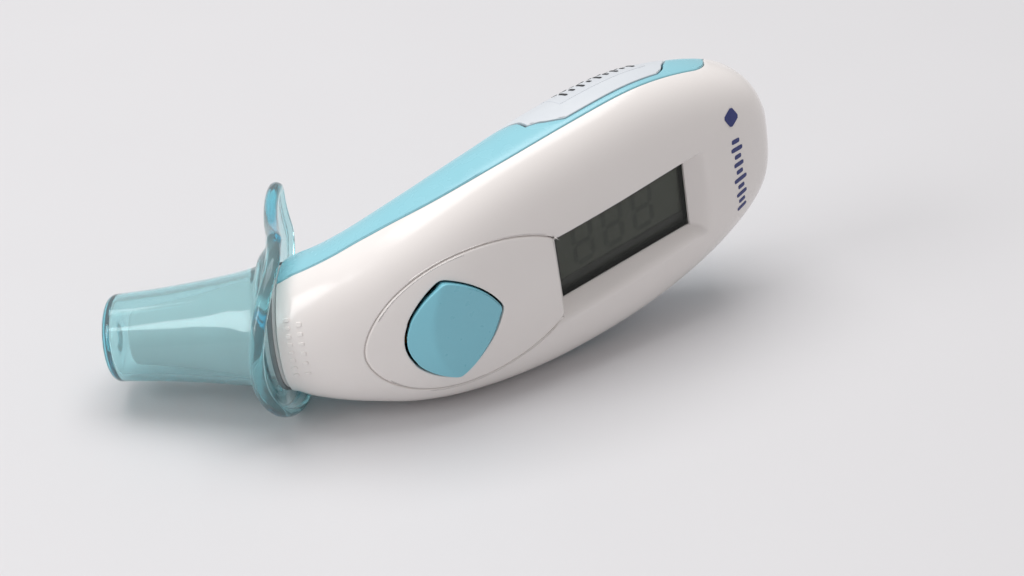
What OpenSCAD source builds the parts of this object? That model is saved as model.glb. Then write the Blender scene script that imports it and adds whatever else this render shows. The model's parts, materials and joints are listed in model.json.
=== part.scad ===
// Infrared ear thermometer lying on its side, with its probe cap on.
// Millimetres, Z up. The origin is under the middle of the object, on the surface it lies on.
// The shapes are drawn in the body's own frame and then laid down by rest_pose():
// X runs from the probe neck to the tail, -Y is the display side, Z is the width.

/* [Shell] */
// Thickness of the moulded walls
wall = 1.8; // [1.4:0.1:2.2]
// Gap at the line where two fixed mouldings meet
seam_gap = 0.12; // [0.08:0.01:0.2]
// How far the battery door stands proud of the back
door_proud = 0.25; // [0:0.05:0.5]
// Gap around the battery door
door_gap = 0.35; // [0.3:0.05:0.5]

/* [Display] */
// Length of the display window
window_length = 26.5; // [24:0.5:27]
// Height of the display window
window_height = 13.4; // [12:0.2:14]

/* [Button] */
// Length of the button along the body
button_length = 16; // [15:0.2:17]
// Width of the button across the body
button_width = 18.6; // [17:0.1:20]
// Depth of the thumb dish in the button
dish_depth = 1.2; // [0.6:0.1:1.4]
// Gap between the button and its panel
button_gap = 0.35; // [0.3:0.05:0.5]

/* [Probe and cap] */
// Angle between the probe and the body
probe_angle = 40; // [35:1:45]
// Length of the probe from its root to its tip
probe_length = 24; // [22:0.5:25]
// Radius of the probe at its tip
tip_radius = 4.4; // [4:0.1:4.6]
// Wall thickness of the cap
cap_wall = 1.2; // [0.9:0.1:1.4]
// Length of the cap beyond the flange plane
cap_length = 27.9; // [27:0.1:30]
// Radius of the cap's flange
flange_radius = 14.6; // [13.5:0.1:15]
// Reach of the cap's thumb tab from the probe axis
tab_reach = 31.2; // [26:0.2:33]
// Half of the tab's width
tab_half = 7; // [5:0.2:8]

/* [Batteries] */
// Radius of a cell
cell_radius = 5.25; // [5:0.05:5.3]
// Distance between the two cells' axes
cell_pitch = 11.2; // [11:0.1:12]
// Length of a cell with its tip
cell_length = 44.5; // [43:0.5:44.5]

/* [Resting place] */
// Roll of the body where it lies
rest_roll = -1.7; // [-10:0.1:10]
// Pitch of the body where it lies on its side and the cap's rim
rest_pitch = -9.8; // [-12:0.05:0]

/* [Output] */
// Which sub-part to draw

/* [Hidden] */

// Stations along the body: X, Y, half width, depth to the front, depth to the back.
STATIONS = [
  [0, 0, 10.4, 10.4, 10.4],
  [9, -6.4, 14, 10.6, 10.9],
  [20, -10.6, 17.8, 10.6, 11.6],
  [34, -12.4, 20.6, 10.2, 12],
  [49, -12.6, 21.6, 10.2, 13.4],
  [63, -12.2, 21, 10, 12.4],
  [75, -11.8, 17.8, 9.8, 8.6],
  [84, -11.4, 12.6, 8.4, 5.8],
  [88.6, -11.2, 5.4, 4, 3]
];
LAST = len(STATIONS) - 1;
FRONT_POWER = 2.7;
BACK_POWER = 2.2;
// The shells' parting line lies this many degrees in front of the widest line.
SEAM = 13;
// The white shell closes over the tail from this station on.
TAIL_CLOSE = 7;
TAIL_OPEN = 5.95;
TAIL_TIP = 1.3;
NECK_BACK = 1.2;

// Display stack, as Y levels from the lens face inwards.
lens_face = -19.7;
lens_thick = 1;
glass_face = lens_face + lens_thick + 0.1;
glass_thick = 1.8;
board_face = -15.5;
board_thick = 1.2;
board_back = board_face + board_thick;
window_x0 = 40.4;
window_x1 = window_x0 + window_length;
window_mid = (window_x0 + window_x1) / 2;
window_half = window_height / 2;
ramp_end = 70.7;
bank_low = -9;
bank_high = 7.3;
recess_top = 1.9;

// Button and its panel, in X along the body.
button_x = 19.6;
panel_x0 = 5;
panel_x1 = 38.6;
panel_half = 13.1;
panel_end_half = 7.65;
panel_peak = 0.52;
panel_centre = 22;
button_thick = 2.7;
post_radius = 1.6;
switch_height = 1.4;
plunger_radius = 1.2;
plunger_top = board_face - switch_height - 0.45;

// Battery bay.
cell_y = -8.2;
cell_x0 = 22;
bay_x0 = 18.6;
bay_x1 = 67.2;
tray_half = 12;
screw_x = 71.3;
door_lean = 7.5;

LOOP = 48;
BEAD = 10;
CIRCLE = 48;

// ---------- the body's surface ----------

function spline(a, b, c, d, f) =
  0.5 * (2 * b + (c - a) * f + (2 * a - 5 * b + 4 * c - d) * f * f + (3 * b - a - 3 * c + d) * f * f * f);

function station(t) =
  let (
    u = min(max(t, 0), LAST - 0.000001),
    i = floor(u),
    p1 = STATIONS[i],
    p2 = STATIONS[i + 1],
    p0 = i > 0 ? STATIONS[i - 1] : 2 * p1 - p2,
    p3 = i + 2 <= LAST ? STATIONS[i + 2] : 2 * p2 - p1
  )
  [for (k = [0:4]) spline(p0[k], p1[k], p2[k], p3[k], u - i)];

function heading(t) =
  t <= 0 ? -probe_angle
  : let (a = station(t - 0.01), b = station(t + 0.01)) atan2(b[1] - a[1], b[0] - a[0]);

function power(t, back) = 2 + ((back ? BACK_POWER : FRONT_POWER) - 2) * min(1, t / 1.5);

function signed_power(v, e) = sign(v) * pow(abs(v), e);

// Point on the body at station t: angle 0 is the upper side, 90 the back and 270 the display side.
function skin(t, angle, inset = 0) =
  let (
    s = station(t),
    h = heading(t),
    back = sin(angle) >= 0,
    e = 2 / power(t, back),
    z = (s[2] - inset) * signed_power(cos(angle), e),
    n = ((back ? s[4] : s[3]) - inset) * signed_power(sin(angle), e)
  )
  [s[0] - n * sin(h), s[1] + n * cos(h), z];

FRONT_LINE = [for (t = [0:0.05:LAST]) [skin(t, 270)[0], t]];

// Point on the display side above a place given by X and Z, moved straight into the body by depth.
function front_point(x, z, depth = 0) =
  let (
    t = lookup(x, FRONT_LINE),
    s = station(t),
    h = heading(t),
    p = power(t, false),
    w = min(abs(z) / s[2], 0.97),
    n = -s[3] * pow(1 - pow(w, p), 1 / p)
  )
  [s[0] - n * sin(h), s[1] + n * cos(h) + depth, z];

BACK_LINE = [for (t = [0:0.05:LAST]) [skin(t, 90)[0], t]];

// Angle of the parting line at station t, measured from the widest line towards the back.
function seam(t) =
  t < TAIL_OPEN ? -SEAM
  : t >= TAIL_CLOSE ? 90
  : 90 - (90 + SEAM) * sqrt(1 - pow((t - TAIL_OPEN) / (TAIL_CLOSE - TAIL_OPEN), 2));

// ---------- nets of points ----------

// Faces of a net whose rows and columns may close on themselves.
function net_faces(rows, cols, close_rows, close_cols) = [
  for (i = [0:rows - (close_rows ? 1 : 2)], j = [0:cols - (close_cols ? 1 : 2)])
    let (i2 = (i + 1) % rows, j2 = (j + 1) % cols)
      each [
        [i * cols + j, i2 * cols + j, i2 * cols + j2],
        [i * cols + j, i2 * cols + j2, i * cols + j2]
      ]
];

function flat(rows) = [for (r = rows) each r];

// Closed loops from one end to the other, shut by a fan at each end.
module loops(rows, first, last, flip = false) {
  n = len(rows);
  c = len(rows[0]);
  faces = concat(
    net_faces(n, c, false, true),
    [for (j = [0:c - 1]) [n * c, j, (j + 1) % c]],
    [for (j = [0:c - 1]) [n * c + 1, (n - 1) * c + (j + 1) % c, (n - 1) * c + j]]
  );
  polyhedron(
    points = concat(flat(rows), [first, last]),
    faces = flip ? [for (f = faces) [f[2], f[1], f[0]]] : faces
  );
}

// A curved sheet with thickness, from an outer and an inner net of the same size.
// Quads whose row is in hole_rows and column in hole_cols are left out, and the hole gets walls.
module sheet(outer, inner, hole_rows = [0, 0], hole_cols = [0, 0]) {
  r = len(outer);
  c = len(outer[0]);
  m = r * c;
  function gone(i, j) =
    i >= hole_rows[0] && i < hole_rows[1] && j >= hole_cols[0] && j < hole_cols[1];
  cells = [for (i = [0:r - 2], j = [0:c - 2]) if (!gone(i, j)) [i, j]];
  function wall_faces(a, b) = [[a, b, b + m], [a, b + m, a + m]];
  faces = [
    for (q = cells)
      let (
        i = q[0],
        j = q[1],
        a = i * c + j,
        b = a + c,
        d = b + 1,
        e = a + 1
      )
        each concat(
          [[a, d, b], [a, e, d], [a + m, b + m, d + m], [a + m, d + m, e + m]],
          i == 0 || gone(i - 1, j) ? wall_faces(e, a) : [],
          i == r - 2 || gone(i + 1, j) ? wall_faces(b, d) : [],
          j == 0 || gone(i, j - 1) ? wall_faces(a, b) : [],
          j == c - 2 || gone(i, j + 1) ? wall_faces(d, e) : []
        )
  ];
  used = [for (i = [0:r - 1], j = [0:c - 1]) !(gone(i, j) && gone(i - 1, j) && gone(i, j - 1) && gone(i - 1, j - 1))];
  count = [for (k = 0, s = 0; k < m; s = s + (used[k] ? 1 : 0), k = k + 1) s];
  total = count[m - 1] + (used[m - 1] ? 1 : 0);
  function slot(v) = v < m ? count[v] : total + count[v - m];
  points = flat([
    [for (i = [0:r - 1], j = [0:c - 1]) if (used[i * c + j]) outer[i][j]],
    [for (i = [0:r - 1], j = [0:c - 1]) if (used[i * c + j]) inner[i][j]]
  ]);
  polyhedron(
    points = points,
    faces = [for (f = faces) [slot(f[0]), slot(f[1]), slot(f[2])]]
  );
}

// ---------- placing ----------

// Turns the body's frame to the way the object lies.
REST_SHIFT = [-31.745, -2.077, 14.199];

module rest_pose() {
  translate(REST_SHIFT) rotate([rest_roll, rest_pitch, 0]) children();
}

// Local Z runs along the probe towards its tip, local X points to the body's back.
module on_probe(l = 0) {
  multmatrix([
    [sin(probe_angle), 0, -cos(probe_angle), 0],
    [cos(probe_angle), 0, sin(probe_angle), 0],
    [0, -1, 0, 0]
  ])
    translate([0, 0, l]) children();
}

// Local Z points out of the display side, local X along the body and local Y across it.
module facing_front(x, y, z = 0) {
  translate([x, y, z]) rotate([90, 0, 0]) children();
}

// Local Z points out of the back.
module facing_back(x, y, z = 0) {
  translate([x, y, z]) rotate([-90, 0, 0]) children();
}

// Local Z points along the body towards the tail.
module along_body(x, y, z) {
  translate([x, y, z]) rotate([0, 90, 0]) children();
}

module ring(outer_r, inner_r, height) {
  rotate_extrude($fn = CIRCLE)
    translate([inner_r, 0]) square([outer_r - inner_r, height]);
}

module rod(r, height) {
  cylinder(r = r, h = height, $fn = CIRCLE);
}

// A box given by its two corners.
module block(a, b) {
  translate(a) cube(b - a);
}

// ---------- shells ----------

SHELL_WHITE = [0.93, 0.92, 0.90];
AQUA = [0.56, 0.83, 0.88];
TEAL = [0.45, 0.65, 0.70];

FRONT_ROWS = concat(
  [for (i = [0:17]) TAIL_OPEN * i / 18],
  [for (k = [0:6]) TAIL_OPEN + (TAIL_CLOSE - TAIL_OPEN) * sin(90 * k / 7)],
  [TAIL_CLOSE, 7.3, 7.6, 7.85, LAST]
);
FRONT_CLOSE_ROW = 25;
FRONT_COLS = 32;

function neck_shift(t) = NECK_BACK * max(0, 1 - t / 0.35);

// The neck ends a little behind the flange plane.
function front_skin(t, j, inset) =
  let (s = seam(t), a = 180 - s + (180 + 2 * s) * j / FRONT_COLS, p = skin(t, a, inset), b = neck_shift(t))
  p + [b * cos(probe_angle), -b * sin(probe_angle), 0];

// The front moulding wraps round the tail, so its net closes from one row on.
module front_skin_solid() {
  rows = len(FRONT_ROWS);
  ic = FRONT_CLOSE_ROW;
  c = FRONT_COLS;
  m = ic * (c + 1) + (rows - ic) * c;
  function at(i, j) = i < ic ? i * (c + 1) + j : ic * (c + 1) + (i - ic) * c + j % c;
  net = function (inset)
    [for (i = [0:rows - 1], j = [0:(i < ic ? c : c - 1)]) front_skin(FRONT_ROWS[i], j, inset)];
  end = station(LAST);
  tip = [end[0] + TAIL_TIP, end[1], 0];
  faces = concat(
    [
      for (i = [0:rows - 2], j = [0:c - 1])
        each [
          [at(i, j), at(i + 1, j + 1), at(i + 1, j)],
          [at(i, j), at(i, j + 1), at(i + 1, j + 1)],
          [m + at(i, j), m + at(i + 1, j), m + at(i + 1, j + 1)],
          [m + at(i, j), m + at(i + 1, j + 1), m + at(i, j + 1)]
        ]
    ],
    [
      for (i = [0:ic - 1])
        each [
          [at(i, 0), at(i + 1, 0), m + at(i, 0)],
          [at(i + 1, 0), m + at(i + 1, 0), m + at(i, 0)],
          [at(i + 1, c), at(i, c), m + at(i + 1, c)],
          [at(i, c), m + at(i, c), m + at(i + 1, c)]
        ]
    ],
    [
      for (j = [0:c - 1])
        each [
          [at(0, j + 1), at(0, j), m + at(0, j + 1)],
          [at(0, j), m + at(0, j), m + at(0, j + 1)]
        ]
    ],
    [
      for (j = [0:c - 1])
        each [
          [2 * m, at(rows - 1, j), at(rows - 1, j + 1)],
          [m + at(rows - 1, j + 1), m + at(rows - 1, j), 2 * m + 1]
        ]
    ]
  );
  polyhedron(points = concat(net(0), net(wall), [tip, tip - [wall, 0, 0]]), faces = faces);
}

// Outline of the oval panel: two curved sides that end on a straight edge at the display.
function panel_side(u) =
  u < panel_peak
  ? panel_half * sqrt(1 - pow((panel_peak - u) / panel_peak, 2))
  : panel_half * sqrt(1 - (1 - pow(panel_end_half / panel_half, 2)) * pow((u - panel_peak) / (1 - panel_peak), 2));

function panel_outline(grow) =
  let (
    n = LOOP / 2,
    long = panel_x1 - panel_x0,
    us = [for (k = [0:n - 1]) 1 - cos(90 * k / (n - 1))]
  )
  concat(
    [for (k = [0:n - 1]) let (u = us[n - 1 - k]) [panel_x0 - grow + u * (long + 2 * grow), panel_side(u) + grow]],
    [for (k = [1:n - 1]) let (u = us[k]) [panel_x0 - grow + u * (long + 2 * grow), -panel_side(u) - grow]]
  );

// Outline of the button: a rounded lozenge, rounder towards the probe.
function button_radius(a) =
  let (p = cos(a) > 0 ? 1.45 : 1.75)
  1 / pow(pow(abs(cos(a)) / (button_length / 2), p) + pow(abs(sin(a)) / (button_width / 2), p), 1 / p);

function button_outline(grow) = [
  for (k = [0:LOOP - 1])
    let (a = 360 * k / LOOP, r = button_radius(a) + grow) [button_x + r * cos(a), r * sin(a)]
];

// The outline as it lies on the display side, for cutting straight through the wall.
function seen_outline(outline) = [for (p = outline) let (q = front_point(p[0], p[1])) [q[0], q[2]]];

module front_prism(outline, y0, y1) {
  facing_front(0, y1) linear_extrude(y1 - y0) polygon(seen_outline(outline));
}

// A plate that follows the display side between two depths.
module front_plate(outline, centre, depth_top, depth_bottom, dish = 0) {
  function row(f, d) = [
    for (p = outline)
      let (x = centre + (p[0] - centre) * f, z = p[1] * f) front_point(x, z, d + dish * (1 - f * f))
  ];
  function low_row(f) = [
    for (p = outline)
      let (x = centre + (p[0] - centre) * f, z = p[1] * f) front_point(x, z, depth_bottom)
  ];
  loops(
    concat([for (f = [0.25, 0.5, 0.75, 0.92, 1]) row(f, depth_top)], [for (f = [1, 0.6]) low_row(f)]),
    front_point(centre, 0, depth_top + dish),
    front_point(centre, 0, depth_bottom),
    true
  );
}

module recess_cut(y_out) {
  hull() {
    facing_front(window_x0, lens_face + 0.1) linear_extrude(0.02)
      translate([0, -window_half]) square([window_length, window_height]);
    facing_front(window_x0 - 0.7, y_out) linear_extrude(0.02)
      translate([0, bank_low]) square([ramp_end - window_x0 + 0.7, bank_high - bank_low]);
  }
}

// Screw posts: X, Z, level of the front end, level of the back end.
POSTS = [[10, 8, -12, -3], [10, -8, -12, -3], [77.5, 8.2, -17, -8], [77.5, -8.2, -17, -8]];
post_outer = 3;
well_radius = 2.2;
head_radius = 1.9;
head_height = 1.1;
shank_radius = 1;
shank_length = 6.5;
seat_depth = 2.4;

module front_shell() {
  color(SHELL_WHITE) difference() {
    front_skin_solid();
    front_prism(panel_outline(seam_gap), -30, -12);
    block(
      [window_x0 - 0.9, -30, bank_low - 0.2],
      [ramp_end + 0.2, lens_face + 2.5, bank_high + 0.2]
    );
  }
}

// ---------- battery door and back shell ----------

DOOR_FIRST = -7;
DOOR_COLS = 26;
DOOR_ROWS = 14;

// Where the door's probe-side edge crosses the angle a.
function door_start(a) =
  let (f = min(1, max(0, (a - 10) / 70)), s = f * f * (3 - 2 * f))
  2.05 + 1.57 * (1 - s) + (a < 3 ? 0.38 * pow((3 - a) / 10, 0.8) : 0);

function door_end(a) = 5.4 + 0.55 * (1 - exp(-(a + 7) / 11.9));

function fold(a) = a > 90 ? 180 - a : a;

function door_angle(j, gap) =
  let (u = j / DOOR_COLS, first = DOOR_FIRST + gap) first + (180 - 2 * first) * (u - 0.09 * sin(360 * u));

function door_net(grow, inset, gap) = [
  for (i = [0:DOOR_ROWS])
    [
      for (j = [0:DOOR_COLS])
        let (
          a = door_angle(j, gap),
          t0 = door_start(fold(a)) + grow,
          t1 = door_end(fold(a)) - grow,
          t = t0 + (t1 - t0) * i / DOOR_ROWS
        )
          skin(t, a, inset)
    ]
];

BACK_HEAD = 6;
BACK_SIDE = 2;
BACK_TAIL = 6;
BACK_END = 6.93;

// Rows run from the neck to the tail. The middle rows follow the door's two edges.
function back_t(i, a) =
  let (
    ia = BACK_HEAD,
    ib = BACK_HEAD + DOOR_ROWS,
    n = ib + BACK_TAIL,
    t0 = door_start(a),
    t1 = door_end(a)
  )
  i <= ia ? t0 * i / ia
  : i <= ib ? t0 + (t1 - t0) * (i - ia) / DOOR_ROWS
  : t1 + (BACK_END - t1) * sin(90 * (i - ib) / (n - ib));

function back_net(inset) =
  let (n = BACK_HEAD + DOOR_ROWS + BACK_TAIL, w = DOOR_COLS)
  [
    for (i = [0:n])
      [
        for (j = [-BACK_SIDE:w + BACK_SIDE])
          let (
            inside = door_angle(min(max(j, 0), w), 0),
            t = back_t(i, max(fold(inside), DOOR_FIRST)),
            edge = seam(t) + 0.6,
            first = max(DOOR_FIRST, edge + 1.5),
            u = j < 0 ? edge + (first - edge) * (j + BACK_SIDE) / BACK_SIDE
              : j > w ? 180 - edge - (first - edge) * (w + BACK_SIDE - j) / BACK_SIDE
              : first + (180 - 2 * first) * (inside - DOOR_FIRST) / (180 - 2 * DOOR_FIRST),
            p = skin(t, u, inset),
            b = neck_shift(t)
          )
            p + [b * cos(probe_angle), -b * sin(probe_angle), 0]
      ]
  ];

module back_shell() {
  color(AQUA) difference() {
    sheet(
      back_net(0),
      back_net(wall),
      [BACK_HEAD, BACK_HEAD + DOOR_ROWS],
      [BACK_SIDE, BACK_SIDE + DOOR_COLS]
    );
    for (p = POSTS) facing_back(p[0], p[3] - 1, p[1]) rod(well_radius, 14);
  }
}

module battery_door() {
  color(SHELL_WHITE) difference() {
    sheet(door_net(0.03, -door_proud, 0.9), door_net(0.03, wall - door_proud, 0.9));
    door_screw_axis() {
      translate([0, 0, -6]) rod(1.3, 12);
      translate([0, 0, -0.9]) rod(2.5, 4);
    }
  }
}

// The screw stands along the door's lift direction.
module door_screw_axis() {
  p = skin(lookup(screw_x, BACK_LINE), 90, -door_proud);
  translate(p) rotate([-90, 0, -door_lean]) children();
}

module door_label() {
  rows = 8;
  cols = 14;
  net = function (inset)
    [for (i = [0:rows]) [for (j = [0:cols]) skin(3.7 + 1.5 * i / rows, 2 + 40 * j / cols, inset - door_proud)]];
  color([0.90, 0.91, 0.93]) sheet(net(-0.12), net(-0.02));
}

module door_screw() {
  color([0.72, 0.73, 0.75]) door_screw_axis() difference() {
    union() {
      translate([0, 0, -0.9]) rod(2.1, 0.9);
      translate([0, 0, -8]) rod(1, 7.2);
    }
    for (a = [0, 90]) rotate([0, 0, a]) translate([-1.3, -0.25, -0.45]) cube([2.6, 0.5, 1]);
  }
}

// ---------- panel and button ----------

module button_panel() {
  color(SHELL_WHITE) difference() {
    front_plate(panel_outline(0), panel_centre, 0, 1.9);
    front_prism(button_outline(button_gap), -30, -8);
  }
}

module button() {
  color(TEAL) union() {
    front_plate(button_outline(0), button_x, 0.1, button_thick, dish_depth);
    p = front_point(button_x, 0, button_thick - 0.4);
    facing_front(button_x, plunger_top - 0.1) rod(post_radius, plunger_top - 0.1 - p[1]);
  }
}

// ---------- display ----------

module display_bezel() {
  color(SHELL_WHITE) difference() {
    block(
      [window_x0 - 0.8, lens_face - recess_top, bank_low - 0.1],
      [ramp_end + 0.1, lens_face, bank_high + 0.1]
    );
    recess_cut(lens_face - 2.6);
    facing_front(window_x0, lens_face + 1) linear_extrude(3)
      translate([0, -window_half]) square([window_length, window_height]);
  }
}

module display_lens() {
  color([0.35, 0.38, 0.36, 0.4])
    block(
      [window_x0 - 1, lens_face, -window_half - 0.9],
      [window_x1 + 1, lens_face + lens_thick, window_half + 0.9]
    );
}

module lens_gasket() {
  color([0.12, 0.12, 0.12]) difference() {
    block(
      [window_x0 - 1, lens_face + lens_thick, -window_half - 0.9],
      [window_x1 + 1, glass_face, window_half + 0.9]
    );
    block(
      [window_x0 + 0.2, lens_face, -window_half + 0.2],
      [window_x1 - 0.2, glass_face + 1, window_half - 0.2]
    );
  }
}

module lcd_glass() {
  color([0.36, 0.39, 0.34]) union() {
    block(
      [window_x0 - 0.9, glass_face, -window_half - 0.7],
      [window_x1 + 0.9, glass_face + glass_thick / 2, window_half + 0.7]
    );
    block(
      [window_x0 - 0.9, glass_face + glass_thick / 2, -window_half + 0.8],
      [window_x1 + 0.9, glass_face + glass_thick, window_half + 0.7]
    );
  }
}

module lcd_frame() {
  color([0.90, 0.90, 0.88]) difference() {
    block([window_x0 - 2.2, glass_face, -window_half - 2], [window_x1 + 2.2, board_face, window_half + 2]);
    block(
      [window_x0 - 1, glass_face - 1, -window_half - 0.8],
      [window_x1 + 1, board_face + 1, window_half + 0.8]
    );
  }
}

module zebra_strips() {
  color([0.25, 0.25, 0.27])
    block(
      [window_x0 + 0.4, glass_face + glass_thick / 2, -window_half - 0.7],
      [window_x1 - 0.4, board_face, -window_half + 0.7]
    );
}

// ---------- circuit board ----------

module circuit_board() {
  color([0.10, 0.38, 0.24]) difference() {
    facing_front(0, board_back) linear_extrude(board_thick) polygon([
      [15.5, -8], [19, -11.5], [30, -13], [66, -13], [72.5, -9.5], [72.5, 9.5], [66, 13], [30, 13], [19, 11.5], [15.5, 8]
    ]);
    for (x = [36.6, 70.6], z = [-8.5, 8.5]) facing_front(x, board_back + 1, z + 2.2 * sign(z) * (x < 40 ? 1 : -0.5)) rod(1, 4);
  }
}

module switch_body() {
  color([0.16, 0.16, 0.17]) difference() {
    block([button_x - 3, board_face - switch_height, -3], [button_x + 3, board_face, 3]);
    facing_front(button_x, board_face - 0.3) rod(plunger_radius + 0.15, 4);
  }
}

module switch_plunger() {
  color([0.80, 0.78, 0.70]) facing_front(button_x, board_face - 0.9) rod(plunger_radius, board_face - 0.9 - plunger_top);
}

module microcontroller() {
  color([0.11, 0.11, 0.12]) union() {
    block([50, board_face - 0.95, -3.5], [57, board_face - 0.1, 3.5]);
    for (k = [0:7], s = [-1, 1]) {
      block([50.45 + 0.8 * k, board_face - 0.4, s > 0 ? 3.4 : -4.4], [50.8 + 0.8 * k, board_face, s > 0 ? 4.4 : -3.4]);
    }
  }
}

CHIP_PLACES = [
  [35.4, -3, 1.6], [35.4, 0, 1.6], [31, 3.5, 2], [35, 4.5, 1.6], [25.4, 6, 2], [46, -4, 1.6], [61, -3, 1.6], [61, 2, 2]
];

module chip_parts() {
  color([0.55, 0.45, 0.33])
    for (p = CHIP_PLACES)
      block([p[0], board_face - 0.7, p[1]], [p[0] + p[2], board_face, p[1] + p[2] / 2]);
}

module crystal() {
  color([0.78, 0.78, 0.80]) along_body(29.6, board_face - 1.05, 8.2) rod(1.05, 6);
}

module buzzer() {
  color([0.13, 0.13, 0.14]) facing_front(31, board_face, -7) difference() {
    rod(3.6, 2.2);
    translate([0, 0, 1.7]) rod(0.8, 2);
  }
}

// ---------- probe ----------

probe_root = -1;
nose_wall = 1.3;

NOSE_PROFILE = [[8.3, 0.6], [8.1, 3], [7.2, 7.5], [6.2, 12], [5.2, 18], [tip_radius, probe_length]];

module probe_nose() {
  color(SHELL_WHITE) on_probe() rotate_extrude($fn = CIRCLE)
    polygon(concat(
      [[6.9, -3.6], [8.2, -3.6], [8.2, probe_root], [9.7, probe_root], [9.7, 0.6]],
      NOSE_PROFILE,
      [[tip_radius - nose_wall, probe_length]],
      [for (k = [len(NOSE_PROFILE) - 2:-1:1]) NOSE_PROFILE[k] - [nose_wall, 0]]
    ));
}

module probe_window() {
  color([0.20, 0.18, 0.22]) on_probe(probe_length - 0.7) rod(2.2, 0.35);
}

module tip_ring() {
  color([0.85, 0.85, 0.87]) on_probe(probe_length - 1.4) ring(tip_radius - nose_wall - 0.05, 2.25, 1.3);
}

module seal_ring() {
  color([0.55, 0.57, 0.58]) on_probe(0) rotate_extrude($fn = CIRCLE)
    polygon([[9.75, 0.3], [10, 0.3], [10.15, 0], [10.15, -0.5], [9.75, -0.5]]);
}

module waveguide() {
  color([0.86, 0.68, 0.28]) on_probe(8.6) ring(2.1, 1.75, probe_length - 8.6 - 1.5);
}

module sensor_holder() {
  color([0.75, 0.76, 0.78]) on_probe(1.8) rotate_extrude($fn = CIRCLE)
    polygon([[2.9, 0], [6.4, 0], [6.4, 2], [4.6, 6.5], [2.2, 8.2], [2.2, 6.7], [2.9, 6.7]]);
}

module sensor_can() {
  color([0.82, 0.82, 0.84]) on_probe(3.4) union() {
    rod(2.85, 0.5);
    rod(2.4, 4.6);
  }
}

module sensor_leads() {
  color([0.80, 0.70, 0.40]) on_probe(0.2)
    for (a = [45:90:315]) rotate([0, 0, a]) translate([1.3, 0, 0]) rod(0.23, 3.2);
}

module sensor_board() {
  color([0.10, 0.38, 0.24]) on_probe(-0.8) rod(6.5, 1);
}

// The ribbon bends from the small board behind the sensor to the end of the main board.
RIBBON_FROM = [2.6, -3.4];
RIBBON_TO = [15.4, -14.9];
RIBBON_STEPS = 16;

function ribbon_line(u) =
  let (a = RIBBON_FROM, b = a + 4.5 * [cos(probe_angle), -sin(probe_angle)], d = RIBBON_TO, c = d - [5, 0])
  pow(1 - u, 3) * a + 3 * u * pow(1 - u, 2) * b + 3 * u * u * (1 - u) * c + pow(u, 3) * d;

function ribbon_side(u, s) =
  let (a = ribbon_line(max(0, u - 0.01)), b = ribbon_line(min(1, u + 0.01)), d = (b - a) / norm(b - a))
  ribbon_line(u) + s * 0.15 * [-d[1], d[0]];

module sensor_ribbon() {
  color([0.72, 0.45, 0.18]) translate([0, 0, -3]) linear_extrude(6) polygon(concat(
    [for (k = [0:RIBBON_STEPS]) ribbon_side(k / RIBBON_STEPS, 1)],
    [for (k = [RIBBON_STEPS:-1:0]) ribbon_side(k / RIBBON_STEPS, -1)]
  ));
}

// ---------- cap ----------

CAP_CURVE = [[9.9, 3], [9.2, 6], [8.55, 10], [7.95, 15], [7.45, 20], [7.15, 24.5], [7.05, 26.4]];
end_round = 1.4;

module cap_cone() {
  n = len(CAP_CURVE);
  tip = CAP_CURVE[n - 1];
  corner = [for (a = [15:15:90]) [tip[0] - end_round * (1 - cos(a)), cap_length - end_round * (1 - sin(a))]];
  rotate_extrude($fn = CIRCLE)
    polygon(concat(
      [[11.5, 0.75], [11.5, 2.5], [10.4, 2.6]],
      CAP_CURVE,
      corner,
      [[0, cap_length], [0, cap_length - cap_wall], [tip[0] - cap_wall - 0.6, cap_length - cap_wall]],
      [for (k = [n - 1:-1:0]) CAP_CURVE[k] - [cap_wall - 0.02, k == n - 1 ? 0.2 : 0]],
      [[10.3, 0.75]]
    ));
}

function tab_edge(a) =
  cos(a) <= 0.02 ? 0
  : let (far = tab_reach / cos(a), side = tab_half / max(0.0001, abs(sin(a)))) pow(pow(far, -14) + pow(side, -14), -1 / 14);

function rim_radius(a) = pow(pow(flange_radius, 7) + pow(tab_edge(a), 7), 1 / 7);

function smooth(u) = let (f = min(1, max(0, u))) f * f * (3 - 2 * f);

// The flange bends back towards the body on both sides of the probe, and its tab leans forward.
function flange_height(q, z) =
  let (
    r = norm([q, z]),
    saddle = 2 - 3.3 * pow(min(abs(z), flange_radius) / 14, 2),
    lean = 1.2 * smooth((q - 4) / 6) + 1.2 * smooth((q - 17) / 13)
  )
  flange_mid + (saddle - flange_mid) * smooth((r - inner_rim) / 2.4) + lean;

RIM_ANGLES = [for (k = [0:71]) let (u = k / 72) 360 * u - 26 * sin(360 * u)];
inner_rim = 10.9;
flange_mid = 1.6;

// Ring of points round the flange's cross-section in the direction a.
function flange_section(a) =
  let (ro = rim_radius(a) - 1.1)
  concat(
    [for (f = [0, 0.35, 0.7]) [inner_rim + (ro - inner_rim) * f, 0.75]],
    [for (b = [90:-36:-90]) [ro + 1.1 * cos(b), 1.15 * sin(b)]],
    [for (f = [0.7, 0.35, 0]) [inner_rim + (ro - inner_rim) * f, -0.75]]
  );

module cap_flange() {
  rows = [
    for (a = RIM_ANGLES)
      [for (s = flange_section(a)) let (q = s[0] * cos(a), z = s[0] * sin(a)) [q, z, flange_height(q, z) + s[1]]]
  ];
  n = len(rows);
  c = len(rows[0]);
  polyhedron(points = flat(rows), faces = net_faces(n, c, true, true));
}

module probe_cap() {
  color([0.45, 0.80, 0.88, 0.5]) on_probe() union() {
    cap_cone();
    cap_flange();
  }
}

// ---------- battery bay ----------

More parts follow.
